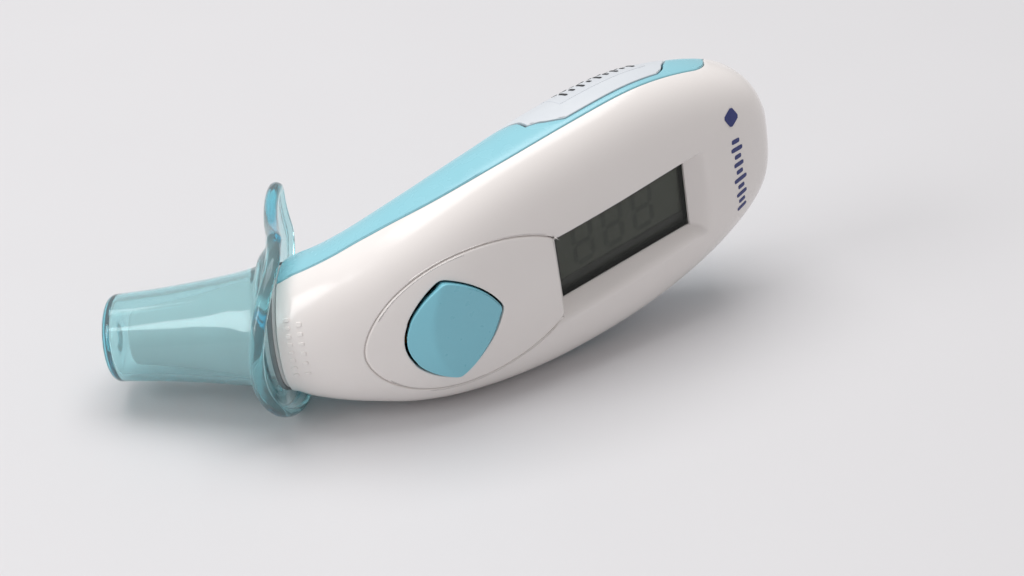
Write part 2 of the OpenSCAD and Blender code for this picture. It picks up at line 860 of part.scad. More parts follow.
module battery_tray() {
  color([0.86, 0.86, 0.84]) difference() {
    union() {
      block([bay_x0 - 1.2, board_back + 0.2, -tray_half], [bay_x1 + 1.2, cell_y - 1.6, tray_half]);
      block([bay_x1, board_back + 0.2, -4], [screw_x + 4.4, cell_y - 1.6, 4]);
    }
    for (s = [-1, 1]) {
      along_body(bay_x0, cell_y, s * cell_pitch / 2) rod(cell_radius + 0.15, bay_x1 - bay_x0);
    }
    block([bay_x0, cell_y - 3, -tray_half + 0.9], [bay_x1, cell_y, tray_half - 0.9]);
    door_screw_axis() translate([0, 0, -14]) rod(1.15, 14);
  }
}

module cell(x0, z, way) {
  translate([x0, cell_y, z]) rotate([0, way * 90, 0]) union() {
    rod(cell_radius, cell_length - 0.8);
    rod(1.9, cell_length);
    ring(cell_radius - 0.6, 2, cell_length - 0.6);
  }
}

module cell_a() {
  color([0.25, 0.35, 0.45]) cell(cell_x0, cell_pitch / 2, 1);
}

module cell_b() {
  color([0.25, 0.35, 0.45]) cell(cell_x0 - 2.2 + cell_length, -cell_pitch / 2, -1);
}

plate_thick = 0.4;

module contact_plates() {
  color([0.80, 0.80, 0.78]) {
    block([bay_x0 + 0.02, cell_y - 2.9, -tray_half + 1.2], [bay_x0 + plate_thick, cell_y + 3, tray_half - 1.2]);
    for (s = [-1, 1]) {
      block(
        [bay_x1 - plate_thick, cell_y - 2.9, s * cell_pitch / 2 - 4.4],
        [bay_x1 - 0.02, cell_y + 3, s * cell_pitch / 2 + 4.4]
      );
    }
  }
}

COIL_STEPS = 72;
COIL_TURNS = 3.5;
wire_radius = 0.28;

// A conical coil, wound from a wide foot to a narrow head.
module coil(length) {
  rows = [
    for (k = [0:COIL_STEPS])
      let (u = k / COIL_STEPS, a = 360 * COIL_TURNS * u, r = 3.4 - 1.6 * u, h = wire_radius + (length - 2 * wire_radius) * u)
        [
          for (b = [0:60:300])
            let (w = r + wire_radius * cos(b)) [w * cos(a), w * sin(a), h + wire_radius * sin(b)]
        ]
  ];
  loops(rows, [3.4, 0, wire_radius], [1.8 * cos(360 * COIL_TURNS), 1.8 * sin(360 * COIL_TURNS), length - wire_radius], true);
}

module contact_springs() {
  color([0.78, 0.78, 0.80]) {
    along_body(bay_x0 + plate_thick + 0.02, cell_y, cell_pitch / 2) coil(cell_x0 - bay_x0 - plate_thick - 0.06);
    translate([bay_x1 - plate_thick - 0.02, cell_y, -cell_pitch / 2]) rotate([0, -90, 0])
      coil(bay_x1 - plate_thick - (cell_x0 - 2.2 + cell_length) - 0.06);
  }
}

module screw_posts() {
  color(SHELL_WHITE)
    for (p = POSTS) facing_back(p[0], p[2], p[1]) difference() {
      rod(post_outer, p[3] - p[2]);
      translate([0, 0, p[3] - p[2] - seat_depth]) rod(well_radius, seat_depth + 1);
      translate([0, 0, p[3] - p[2] - seat_depth - shank_length - 0.5]) rod(shank_radius + 0.1, shank_length + 1);
    }
}

module shell_screws() {
  color([0.70, 0.71, 0.73])
    for (p = POSTS) facing_back(p[0], p[3] - seat_depth, p[1]) difference() {
      union() {
        translate([0, 0, -shank_length]) rod(shank_radius, shank_length + 0.2);
        rod(head_radius, head_height);
      }
      for (a = [0, 90]) rotate([0, 0, a]) translate([-1.2, -0.22, 0.6]) cube([2.4, 0.44, 1]);
    }
}

// ---------- drawing ----------

rest_pose() front_shell();
rest_pose() back_shell();
rest_pose() button_panel();
rest_pose() display_bezel();
rest_pose() display_lens();
rest_pose() lens_gasket();
rest_pose() lcd_glass();
rest_pose() lcd_frame();
rest_pose() zebra_strips();
rest_pose() circuit_board();
rest_pose() switch_body();
rest_pose() microcontroller();
rest_pose() chip_parts();
rest_pose() crystal();
rest_pose() buzzer();
rest_pose() probe_nose();
rest_pose() probe_window();
rest_pose() tip_ring();
rest_pose() seal_ring();
rest_pose() waveguide();
rest_pose() sensor_holder();
rest_pose() sensor_can();
rest_pose() sensor_leads();
rest_pose() sensor_board();
rest_pose() sensor_ribbon();
rest_pose() battery_tray();
rest_pose() contact_plates();
rest_pose() contact_springs();
rest_pose() cell_a();
rest_pose() cell_b();
rest_pose() screw_posts();
rest_pose() shell_screws();
rest_pose() button();
rest_pose() switch_plunger();
rest_pose() probe_cap();
rest_pose() battery_door();
rest_pose() door_label();
rest_pose() door_screw();
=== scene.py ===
# %% [markdown]
# # Infrared ear thermometer
# An ear thermometer is a small moulded instrument: a white front shell and an aqua back shell
# meet along a fine seam, a display sits in a recess, and a clear cap covers the probe.
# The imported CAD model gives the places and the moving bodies. This lesson adds smooth
# surfaces, rounded lips, prints and finishes to it, all in metres and in the same frame.

# %% Load the frame
import json
import math

import bmesh
import bpy
import numpy as np
from mathutils import Matrix, Vector

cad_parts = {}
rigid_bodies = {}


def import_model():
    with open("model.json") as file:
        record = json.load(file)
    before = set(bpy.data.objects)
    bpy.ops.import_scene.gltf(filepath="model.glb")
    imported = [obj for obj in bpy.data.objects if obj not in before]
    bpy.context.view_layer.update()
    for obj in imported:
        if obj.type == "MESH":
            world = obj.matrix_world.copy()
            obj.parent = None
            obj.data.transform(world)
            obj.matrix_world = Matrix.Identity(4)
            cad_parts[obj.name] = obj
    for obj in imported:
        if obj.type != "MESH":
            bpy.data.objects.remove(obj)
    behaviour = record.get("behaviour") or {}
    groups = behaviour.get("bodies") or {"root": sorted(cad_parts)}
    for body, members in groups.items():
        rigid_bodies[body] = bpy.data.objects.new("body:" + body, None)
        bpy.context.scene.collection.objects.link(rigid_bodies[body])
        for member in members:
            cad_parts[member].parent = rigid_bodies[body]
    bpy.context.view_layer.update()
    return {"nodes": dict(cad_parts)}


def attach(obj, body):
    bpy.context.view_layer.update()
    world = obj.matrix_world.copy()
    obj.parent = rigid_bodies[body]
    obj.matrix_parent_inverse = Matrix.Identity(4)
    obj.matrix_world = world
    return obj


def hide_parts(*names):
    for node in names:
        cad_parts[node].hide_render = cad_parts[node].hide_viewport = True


for leftover in list(bpy.data.objects):
    bpy.data.objects.remove(leftover)
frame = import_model()
nodes = frame["nodes"]

# %% [markdown]
# ## The body's frame
# The shapes are easiest to write in the body's own frame, in millimetres: X runs from the neck
# to the tail, -Y is the display side and Z is the width. One turn and one shift lay the body
# down the way it rests, and every piece goes through the same function, so all of them agree.

# %% Lay points down
REST_ROLL, REST_PITCH = math.radians(-1.7), math.radians(-9.8)
REST_SHIFT = np.array([-31.745, -2.077, 14.199])
REST_TURN = np.array(Matrix.Rotation(REST_PITCH, 3, "Y") @ Matrix.Rotation(REST_ROLL, 3, "X"))
MM = 0.001


def lay(points):
    """Body-frame millimetres to metres where the object lies."""
    return (np.asarray(points, float) @ REST_TURN.T + REST_SHIFT) * MM


print("probe axis ends at", lay([[-21.4, 17.9, 0]]).round(4))

# %% [markdown]
# ## The body as one smooth surface
# A moulded body like this is lofted through a few cross-sections. Each station here gives the
# centre, the half width and the depths to the front and the back. A Catmull-Rom spline runs
# through them, and each section is a superellipse: a little squarer than an ellipse in front.

# %% Body surface
STATIONS = np.array([
    [0, 0, 10.4, 10.4, 10.4],
    [9, -6.4, 14, 10.6, 10.9],
    [20, -10.6, 17.8, 10.6, 11.6],
    [34, -12.4, 20.6, 10.2, 12],
    [49, -12.6, 21.6, 10.2, 13.1],
    [63, -12.2, 21, 10, 11.8],
    [75, -11.8, 17.8, 9.8, 8.0],
    [84, -11.4, 12.6, 8.4, 5.8],
    [88.6, -11.2, 5.4, 4, 3],
], float)
LAST = len(STATIONS) - 1
PROBE_ANGLE = math.radians(40)
SIN_P, COS_P = math.sin(PROBE_ANGLE), math.cos(PROBE_ANGLE)
FRONT_POWER, BACK_POWER = 2.7, 2.2
NECK_BACK = 1.2
SEAM = 12.5
SWELL, SWELL_AT, SWELL_NEAR, SWELL_FAR = 9.3, 1.4, 0.9, 1.25
TAIL_OPEN, TAIL_CLOSE = 5.95, 7.0
KNOTS = np.vstack([2 * STATIONS[0] - STATIONS[1], STATIONS, 2 * STATIONS[-1] - STATIONS[-2]])


def station(t):
    """Centre X, centre Y, half width and the two depths at station t."""
    u = np.clip(np.asarray(t, float), 0, LAST - 1e-6)
    i = u.astype(int)
    f = (u - i)[..., None]
    a, b, c, d = KNOTS[i], KNOTS[i + 1], KNOTS[i + 2], KNOTS[i + 3]
    return 0.5 * (2 * b + (c - a) * f + (2 * a - 5 * b + 4 * c - d) * f**2 + (3 * b - a - 3 * c + d) * f**3)


def heading(t):
    """Direction of the centre line at station t, in the XY plane."""
    a, b = station(np.asarray(t) - 0.01), station(np.asarray(t) + 0.01)
    turned = np.arctan2(b[..., 1] - a[..., 1], b[..., 0] - a[..., 0])
    return np.where(np.asarray(t) <= 0, -PROBE_ANGLE, turned)


def skin(t, angle, inset=0.0):
    """Surface point: angle 0 is the upper side, 90 the back and 270 the display side."""
    t, angle, inset = np.broadcast_arrays(np.asarray(t, float), np.radians(angle), inset)
    s, h, back = station(t), heading(t), np.sin(angle) >= 0
    power = 2 + (np.where(back, BACK_POWER, FRONT_POWER) - 2) * np.minimum(1, t / 1.5)
    swell = lambda v: np.sign(v) * np.abs(v) ** (2 / power)
    z = (s[..., 2] - inset) * swell(np.cos(angle))
    n = (np.where(back, s[..., 4], s[..., 3]) - inset) * swell(np.sin(angle))
    shift = NECK_BACK * np.maximum(0, 1 - t / 0.35)
    x = s[..., 0] - n * np.sin(h) + shift * COS_P
    y = s[..., 1] + n * np.cos(h) - shift * SIN_P
    return np.stack([x, y, z], -1)


def seam_drop(t):
    """How far the parting line lies below the widest line: it rises in a swell behind the neck."""
    off = (np.asarray(t, float) - SWELL_AT) / np.where(np.asarray(t) < SWELL_AT, SWELL_NEAR, SWELL_FAR)
    return SEAM - SWELL * np.exp(-off**2)


def seam(t):
    """Angle of the parting line, measured from the widest line towards the back."""
    u = np.clip((np.asarray(t, float) - TAIL_OPEN) / (TAIL_CLOSE - TAIL_OPEN), 0, 1)
    return 90 - (90 + seam_drop(t)) * np.sqrt(1 - u**2)


LINE_T = np.linspace(0, LAST, 1601)
LINE_X = skin(LINE_T, 270)[:, 0]


def front_ta(x, z):
    """Station and angle of the display side above a place in X and Z."""
    t = np.interp(x, LINE_X, LINE_T)
    w = np.clip(np.asarray(z, float) / station(t)[..., 2], -0.97, 0.97)
    c = np.sign(w) * np.abs(w) ** (FRONT_POWER / 2)
    return t, 360 - np.degrees(np.arccos(c))


def front_point(x, z, depth=0.0):
    """Point of the display side, moved straight into the body by depth."""
    t, a = front_ta(x, z)
    p = skin(t, a)
    p[..., 1] += depth
    return p


print("body length", round(LINE_X[-1] - LINE_X[0], 1), "mm")

# %% [markdown]
# ## From a net of points to a moulding
# Injection-moulded covers are thin sheets of even wall with small round lips. Solidify and
# Bevel could do this, but their bevels are clamped by the fine rows near an opening. So a
# short function of our own gives an open sheet its wall: it pulls each free edge back,
# rolls it over in four steps, and closes the inside.

# %% Nets and walls
LIP_STEPS = (30, 60, 90)


def net(bm, points, close_rows=False, close_cols=False, skip=None):
    """Adds a grid of points to a bmesh, as quads."""
    rows, cols = points.shape[:2]
    verts = [[bm.verts.new(p) for p in row] for row in points]
    for i in range(rows - (not close_rows)):
        for j in range(cols - (not close_cols)):
            if skip is not None and skip[i, j]:
                continue
            k, m = (i + 1) % rows, (j + 1) % cols
            bm.faces.new((verts[i][j], verts[k][j], verts[k][m], verts[i][m]))
    return verts


def fan(bm, ring, point):
    """Closes a ring of vertices with triangles to one point."""
    tip = bm.verts.new(point)
    for a, b in zip(ring, ring[1:] + ring[:1]):
        bm.faces.new((a, b, tip))


def face_outward(bm, centre):
    """Merges doubles and turns an open sheet's faces away from a point."""
    loose = [v for v in bm.verts if not v.link_faces]
    bmesh.ops.delete(bm, geom=loose, context="VERTS")
    bmesh.ops.remove_doubles(bm, verts=bm.verts, dist=1e-4)
    bmesh.ops.recalc_face_normals(bm, faces=bm.faces)
    bm.normal_update()
    away = sum(f.normal.dot(f.calc_center_median() - Vector(centre)) * f.calc_area() for f in bm.faces)
    if away < 0:
        bmesh.ops.reverse_faces(bm, faces=bm.faces)
    bm.normal_update()


def give_wall(bm, wall, lip):
    """Gives an open sheet its wall. Lip is the radius on its free edges, or a function of the point."""
    rim = [e for e in bm.edges if e.is_boundary]
    faces, verts = list(bm.faces), list(bm.verts)
    out = {}
    for e in rim:
        f = e.link_faces[0]
        side = (e.verts[1].co - e.verts[0].co).normalized().cross(f.normal)
        if side.dot(f.calc_center_median() - e.verts[0].co) > 0:
            side.negate()
        for v in e.verts:
            out[v] = out.get(v, Vector()) + side
    normal = {v: v.normal.copy() for v in verts}
    roll = {}
    for v, side in out.items():
        side.normalize()
        r, n = lip(v.co) if callable(lip) else lip, normal[v]
        base = v.co - side * r
        steps = [(math.radians(a), 0.0) for a in LIP_STEPS] + [(math.pi / 2, wall - r)]
        roll[v] = [base + side * r * math.sin(a) - n * (r * (1 - math.cos(a)) + d) for a, d in steps]
        v.co = base
    inner = {v: bm.verts.new(v.co - normal[v] * wall) for v in verts}
    rows = {v: [v] + [bm.verts.new(p) for p in roll[v]] + [inner[v]] for v in out}
    for f in faces:
        bm.faces.new([inner[v] for v in reversed(f.verts)])
    for e in rim:
        a, b = e.verts
        loop = next(k for k in e.link_faces[0].loops if k.edge == e and k.face in faces)
        if loop.vert != a:
            a, b = b, a
        for k in range(len(rows[a]) - 1):
            bm.faces.new((rows[b][k], rows[a][k], rows[a][k + 1], rows[b][k + 1]))
    bm.normal_update()


def finish_mesh(name, bm):
    """Lays a bmesh down and makes it an object with smooth faces."""
    mesh = bpy.data.meshes.new(name)
    bm.to_mesh(mesh)
    bm.free()
    co = np.empty(len(mesh.vertices) * 3)
    mesh.vertices.foreach_get("co", co)
    mesh.vertices.foreach_set("co", lay(co.reshape(-1, 3)).ravel())
    mesh.polygons.foreach_set("use_smooth", np.ones(len(mesh.polygons), bool))
    mesh.update()
    piece = bpy.data.objects.new(name, mesh)
    bpy.context.scene.collection.objects.link(piece)
    tris = sum(len(f.vertices) - 2 for f in mesh.polygons)
    print(f"{name}: {tris} triangles")
    return piece


def walled(name, bm, wall, lip, middle=(45, -12, 0)):
    """Finishes an open sheet as a moulding with an even wall."""
    face_outward(bm, middle)
    give_wall(bm, wall, lip)
    return finish_mesh(name, bm)


def walled_net(name, points, wall, lip, middle=(45, -12, 0), **options):
    """The same, straight from a net of points."""
    bm = bmesh.new()
    net(bm, points, **options)
    return walled(name, bm, wall, lip, middle)


def even(points, count):
    """Shares of a polyline's parameter that cut its length into even steps."""
    steps = np.linalg.norm(np.diff(points, axis=0), axis=1)
    run = np.concatenate([[0], np.cumsum(steps)]) / steps.sum()
    return np.interp(np.linspace(0, 1, count), run, np.linspace(0, 1, len(points)))


print("lip turns through", LIP_STEPS, "degrees")

# %% [markdown]
# ## Outlines on the display side
# The oval panel is two curved sides that end on a straight edge at the display, and the button
# is a rounded lozenge, rounder towards the probe. Both are drawn in X and Z and then dropped
# onto the body, the way a stamped outline would be projected onto a model.

# %% Panel and button outlines
PANEL_X0, PANEL_X1, PANEL_HALF, PANEL_END, PANEL_PEAK = 5.0, 38.6, 12.5, 7.65, 0.52
SEAM_GAP = 0.12
BUTTON_X, BUTTON_GAP = 19.6, 0.32
BUTTON_CORNERS = np.array([(7.9, 0), (-1.4, 9.5), (-9.1, 0), (-1.4, -9.5)])
BUTTON_BULGE = (0.095, 0.125, 0.125, 0.095)
SHARP, ROUND = 34, 10


def panel_side(u):
    """Half width of the panel at a share u of its length."""
    near = PANEL_HALF * np.sqrt(np.maximum(0, 1 - ((PANEL_PEAK - u) / PANEL_PEAK) ** 2))
    drop = 1 - (PANEL_END / PANEL_HALF) ** 2
    far = PANEL_HALF * np.sqrt(np.maximum(0, 1 - drop * ((u - PANEL_PEAK) / (1 - PANEL_PEAK)) ** 2))
    return np.where(u < PANEL_PEAK, near, far)


def button_reach(a):
    """Distance from the button's centre to its edge: four flat arcs, with one round corner."""
    ray = np.stack([np.cos(a), np.sin(a)], -1)
    power = SHARP - (SHARP - ROUND) * np.clip((-0.75 - np.cos(a)) / 0.15, 0, 1)
    total = 0
    for p, q, bulge in zip(BUTTON_CORNERS, np.roll(BUTTON_CORNERS, -1, 0), BUTTON_BULGE):
        chord = np.linalg.norm(q - p)
        rise = bulge * chord
        radius = (chord**2 / 4 + rise**2) / (2 * rise)
        out = np.array([q[1] - p[1], p[0] - q[0]]) / chord
        centre = (p + q) / 2 - out * (radius - rise)
        along = ray @ centre
        total = total + (along + np.sqrt(along**2 - centre @ centre + radius**2)) ** -power
    return total ** (-1 / power)


def button_outline(grow, angles):
    """Points round the button in these directions."""
    r = button_reach(angles) + grow
    return np.stack([BUTTON_X + r * np.cos(angles), r * np.sin(angles)], -1)


print("panel", PANEL_X1 - PANEL_X0, "mm long; button reach", button_reach(np.radians([0, 90, 180])).round(1))

# %% [markdown]
# ## The display recess
# The window lies nearly three millimetres below the skin. Four banks lead down to it: a steep
# crisp one above, a long ramp towards the tail and a soft slope below. Each bank is a tilted
# plane; the recess is as deep as the shallowest of them, and each meets the skin with its own
# softness. The result is one depth for each point, so shell and recess stay one smooth sheet.

# %% Depth of the recess
LENS_Y = -19.7
WINDOW_X1, WINDOW_HALF = 66.9, 6.7
BANK_UP, BANK_LOW, RAMP = 4.6, 1.05, 0.66
SOFT_UP, SOFT_LOW, SOFT_RAMP = 0.22, 0.75, 0.45


def soft_step(u):
    f = np.clip(u, 0, 1)
    return f * f * (3 - 2 * f)


def soft_floor(u, k):
    """Zero below -k, u above k and a parabola between."""
    return np.where(u > k, u, np.where(u < -k, 0, (u + k) ** 2 / (4 * k)))


def recess_depth(p):
    """How far the skin at point p is pressed in."""
    x, y, z = p[..., 0], p[..., 1], p[..., 2]
    depth_here = LENS_Y - y
    up = soft_floor(depth_here - BANK_UP * (z - WINDOW_HALF), SOFT_UP)
    low = soft_floor(depth_here - BANK_LOW * (-WINDOW_HALF - z), SOFT_LOW)
    ramp = soft_floor(depth_here - RAMP * (x - WINDOW_X1), SOFT_RAMP)
    low = low * soft_step((x - PANEL_X1 + 7) / 7)
    blend = 7
    parts = [np.maximum(d, 1e-9) ** -blend for d in (up, low, ramp)]
    depth = sum(parts) ** (-1 / blend)
    return np.clip(depth, 0, np.maximum(depth_here, 0)) * (x > 15)


print("recess depths", recess_depth(skin(4.4, np.array([270.0, 300.0, 240.0]))).round(2))

# %% [markdown]
# ## Front shell
# The front moulding wraps round the tail and has one opening, for the panel and the display.
# Rings run from that opening out to the seam, packed closely where the recess turns, and a
# second net carries the sheet over the tail until it closes. The sheet then gets its wall.

# %% Build the front shell
LEFT, ARC, PEAK, DROP, ALONG, RIGHT = 56, 26, 44, 12, 76, 46
CORNER = math.radians(50)


def opening_side():
    """Upper half of the opening: X and Z from the left tip to the window's right edge."""
    x0, peak = PANEL_X0 - SEAM_GAP, PANEL_PEAK * (PANEL_X1 - PANEL_X0)
    half = PANEL_HALF + SEAM_GAP
    tip = np.linspace(0, CORNER, LEFT // 2 + 1)[:-1]
    arc = np.linspace(CORNER, math.pi / 2, ARC, endpoint=False)
    swing = np.concatenate([tip, arc])
    head = np.stack([x0 + peak * (1 - np.cos(swing)), half * np.sin(swing)], -1)
    u = np.linspace(PANEL_PEAK, 1, PEAK)
    tail = np.stack([PANEL_X0 + u * (PANEL_X1 - PANEL_X0), panel_side(u) + SEAM_GAP], -1)
    tail[:, 0] += SEAM_GAP * np.linspace(0, 1, PEAK)
    end = tail[-1]
    drop = np.stack([np.full(DROP, end[0]), np.linspace(end[1], WINDOW_HALF, DROP + 1)[1:]], -1)
    top = np.stack([np.linspace(end[0], WINDOW_X1, ALONG + 1)[1:], np.full(ALONG, WINDOW_HALF)], -1)
    return np.concatenate([head, tail, drop, top])


def true_ta(x, z):
    """Station and angle whose surface point has exactly this X and Z."""
    want = np.array(x, float)
    for _ in range(6):
        t, a = front_ta(want, z)
        want = want + (x - skin(t, a)[..., 0])
    return t, a


upper = opening_side()
across = np.linspace(WINDOW_HALF, -WINDOW_HALF, RIGHT + 1)[1:-1]
right = np.stack([np.full(len(across), WINDOW_X1), across], -1)
opening = np.concatenate([upper, right, (upper * [1, -1])[:0:-1]])
t_panel, a_panel = front_ta(opening[:, 0], opening[:, 1])
t_true, a_true = true_ta(opening[:, 0], opening[:, 1])
mix = soft_step((opening[:, 0] - PANEL_X1 + 0.4) / 0.5)
inner_t = t_panel + (t_true - t_panel) * mix
inner_a = a_panel + (a_true - a_panel) * mix

UPPER, LOWER = 360 - SEAM, 180 + SEAM
side_run = np.concatenate([[0], np.cumsum(np.linalg.norm(np.diff(upper[LEFT // 2:], axis=0), axis=1))])
side_t = TAIL_OPEN * side_run / side_run[-1]
neck = np.linspace(0, 1, LEFT // 2 + 1)[:-1]
fine = np.linspace(UPPER, LOWER, 2001)
RIGHT_SHARE = even(skin(TAIL_OPEN, fine), RIGHT + 1)
right_a = UPPER + (LOWER - UPPER) * RIGHT_SHARE[1:-1]
upper_t = np.concatenate([np.zeros(LEFT // 2), side_t])
neck_a = 360 - seam_drop(0.0)
upper_a = np.concatenate([270 + (neck_a - 270) * neck, 360 - seam_drop(side_t)])
outer_t = np.concatenate([upper_t, np.full(len(right_a), TAIL_OPEN), upper_t[:0:-1]])
outer_a = np.concatenate([upper_a, right_a, (540 - upper_a)[:0:-1]])

RINGS = np.concatenate([[0, 0.014, 0.028], np.linspace(0.04, 0.2, 12), np.linspace(0.23, 1, 22)])
share = RINGS[:, None]
# Beside the display the opening turns a corner, so the first rings step aside there.
NUDGE, NUDGE_RISE = 0.05, 0.03
turn_end = len(upper) - ALONG
aside = np.concatenate([np.zeros(turn_end - DROP), np.linspace(0, 1, DROP + 1)[1:], np.linspace(1, 0, 31)[1:]])
aside = np.concatenate([aside, np.zeros(len(upper) - len(aside))])
aside = np.concatenate([aside, np.zeros(len(across)), aside[:0:-1]])
ring_t = inner_t + (outer_t - inner_t) * share + NUDGE * aside * np.minimum(1, share / NUDGE_RISE) * (1 - share)
ring_a = inner_a + (outer_a - inner_a) * share
rings = skin(ring_t, ring_a)
rings[..., 1] += recess_depth(rings)

tail_t = np.concatenate([
    TAIL_OPEN + (TAIL_CLOSE - TAIL_OPEN) * np.sin(np.radians(np.linspace(0, 90, 22))),
    np.linspace(TAIL_CLOSE, LAST, 20)[1:],
])
tail_s = seam(tail_t)[:, None]
tail_a = 360 + tail_s - (180 + 2 * tail_s) * RIGHT_SHARE[None, :]
tail = skin(tail_t[:, None], tail_a)
tail[..., 1] += recess_depth(tail) * (np.abs(tail_a - 270) < 80)
TAIL_TIP, TIP_POWER = 1.3, 2.65
centre = station(LAST)[:2]
rounds = []
for u in np.linspace(0, 1, 9)[1:-1]:
    ring = tail[-1].copy()
    ring[:, :2] = centre + (ring[:, :2] - centre) * (1 - u)
    ring[:, 2] *= 1 - u
    ring[:, 0] += TAIL_TIP * (1 - (1 - u) ** TIP_POWER)
    rounds.append(ring)
tail = np.concatenate([tail, rounds])

bm = bmesh.new()
net(bm, rings, close_cols=True)
tail_rows = net(bm, tail)
fan(bm, tail_rows[-1][:-1], (centre[0] + TAIL_TIP, centre[1], 0))
LIP = 0.2


def shell_lip(p):
    """The lip is sharp at the two corners beside the display."""
    far = math.hypot(p.x - PANEL_X1, abs(p.z) - 7.2)
    return LIP * min(1, max(0.1, (far - 0.7) / 1.2))


front_shell = walled("front_shell_moulding", bm, 1.4, shell_lip)
print("front shell rings", rings.shape)

# %% [markdown]
# ## Back shell and battery door
# The aqua back is one sheet with the battery bay's opening. Its rows follow the two curved
# ends of the door, so the opening falls on the net's own lines. The white door fills it with
# a small gap all round and is almost flush.

# %% Build the back shell and the door
DOOR_FIRST, DOOR_GAP, DOOR_PROUD = -7.0, 0.8, 0.08
HEAD, MIDDLE, FOOT, SIDE, COLS = 26, 70, 20, 3, 120
BACK_END, SEAM_SLIT = 6.93, 0.6


def door_start(a):
    """Station of the door's edge on the probe side."""
    curl = np.where(a < 3, 0.38 * (np.maximum(0, 3 - a) / 10) ** 0.8, 0)
    return 2.05 + 1.57 * (1 - soft_step((a - 10) / 70)) + curl


def door_end(a):
    return 5.4 + 0.55 * (1 - np.exp(-(a + 7) / 11.9))


def fold(a):
    return np.where(a > 90, 180 - a, a)


def door_angles(gap, cols):
    first = DOOR_FIRST + gap
    u = np.linspace(0, 1, cols + 1)
    return first + (180 - 2 * first) * (u - 0.09 * np.sin(2 * math.pi * u))


door_a = door_angles(0, COLS)
wide = np.concatenate([np.full(SIDE, door_a[0]), door_a, np.full(SIDE, door_a[-1])])
start, end = door_start(fold(wide)), door_end(fold(wide))
head = start * np.linspace(0, 1, HEAD + 1)[:, None]
middle = start + (end - start) * np.linspace(0, 1, MIDDLE + 1)[1:, None]
foot = end + (BACK_END - end) * np.sin(np.radians(np.linspace(0, 90, FOOT + 1)))[1:, None]
back_t = np.concatenate([head, middle, foot])
edge = seam(back_t) + SEAM_SLIT
first = np.maximum(DOOR_FIRST, edge + 1.5)
inside = first + (180 - 2 * first) * (wide - DOOR_FIRST) / (180 - 2 * DOOR_FIRST)
step = np.arange(SIDE) / SIDE
back_a = inside
back_a[:, :SIDE] = edge[:, :SIDE] + (first - edge)[:, :SIDE] * step
back_a[:, -SIDE:] = 180 - edge[:, -SIDE:] - (first - edge)[:, -SIDE:] * step[::-1]
hole = np.zeros((back_t.shape[0] - 1, back_t.shape[1] - 1), bool)
hole[HEAD:HEAD + MIDDLE, SIDE:SIDE + COLS] = True
back_shell = walled_net("back_shell_moulding", skin(back_t, back_a), 1.4, LIP, skip=hole)

angles = door_angles(DOOR_GAP, COLS)
t0, t1 = door_start(fold(angles)) + 0.03, door_end(fold(angles)) - 0.03
door_t = t0 + (t1 - t0) * np.linspace(0, 1, MIDDLE + 1)[:, None]
door = walled_net("battery_door_moulding", skin(door_t, angles, -DOOR_PROUD), 1.3, 0.16)

# %% [markdown]
# The door's screw sits in a counterbore. A lathed cutter with a step in it is taken out of the
# door by a Boolean, which is how the pin in the mould makes such a hole.

# %% Cut the screw hole
DOOR_LEAN, SCREW_X = math.radians(7.5), 71.3


def lathe(profile, place, segments, closed=False):
    """Turns (radius, height) pairs round an axis. Place gives the frame of the axis."""
    bm = bmesh.new()
    turn = np.linspace(0, 2 * math.pi, segments, endpoint=False)
    r, h = np.array(profile, float).T
    local = np.stack([r * np.cos(turn)[:, None], r * np.sin(turn)[:, None], h + 0 * turn[:, None]], -1)
    net(bm, place(local), close_rows=True, close_cols=closed)
    bmesh.ops.remove_doubles(bm, verts=bm.verts, dist=1e-4)
    bmesh.ops.recalc_face_normals(bm, faces=bm.faces)
    return bm


def on_screw(p):
    """Local Z leans with the door's lift direction, and starts on the door's face."""
    t = np.interp(SCREW_X, skin(LINE_T, 90)[:, 0], LINE_T)
    root = skin(t, 90, -DOOR_PROUD)
    along = np.array([math.sin(DOOR_LEAN), math.cos(DOOR_LEAN), 0])
    side = np.array([math.cos(DOOR_LEAN), -math.sin(DOOR_LEAN), 0])
    return root + p[..., :1] * side + p[..., 1:2] * np.array([0, 0, -1]) + p[..., 2:] * along


bm = lathe([(0, -6), (1.3, -6), (1.3, -0.9), (2.5, -0.9), (2.5, 0.0), (2.9, 1.2), (0, 1.2)], on_screw, 64)
cutter = finish_mesh("screw_cutter", bm)
cut = door.modifiers.new("screw_hole", "BOOLEAN")
cut.object, cut.operation, cut.solver = cutter, "DIFFERENCE", "EXACT"


def freeze(piece):
    """Turns a piece and its modifiers into a plain mesh."""
    graph = bpy.context.evaluated_depsgraph_get()
    mesh = bpy.data.meshes.new_from_object(piece.evaluated_get(graph))
    piece.modifiers.clear()
    piece.data = mesh
    return piece


freeze(door)
bpy.data.objects.remove(cutter)
print("door after the cut:", len(door.data.polygons), "faces")

# %% [markdown]
# ## Panel and button
# The panel is a thin oval plate that follows the shell, with the button's hole in it. The
# button has a broad face for the thumb, and on the probe side a soft crease falls away to a
# bevel, so that a finger finds it without looking.

# %% Build the panel
HOLE_POINTS = 240


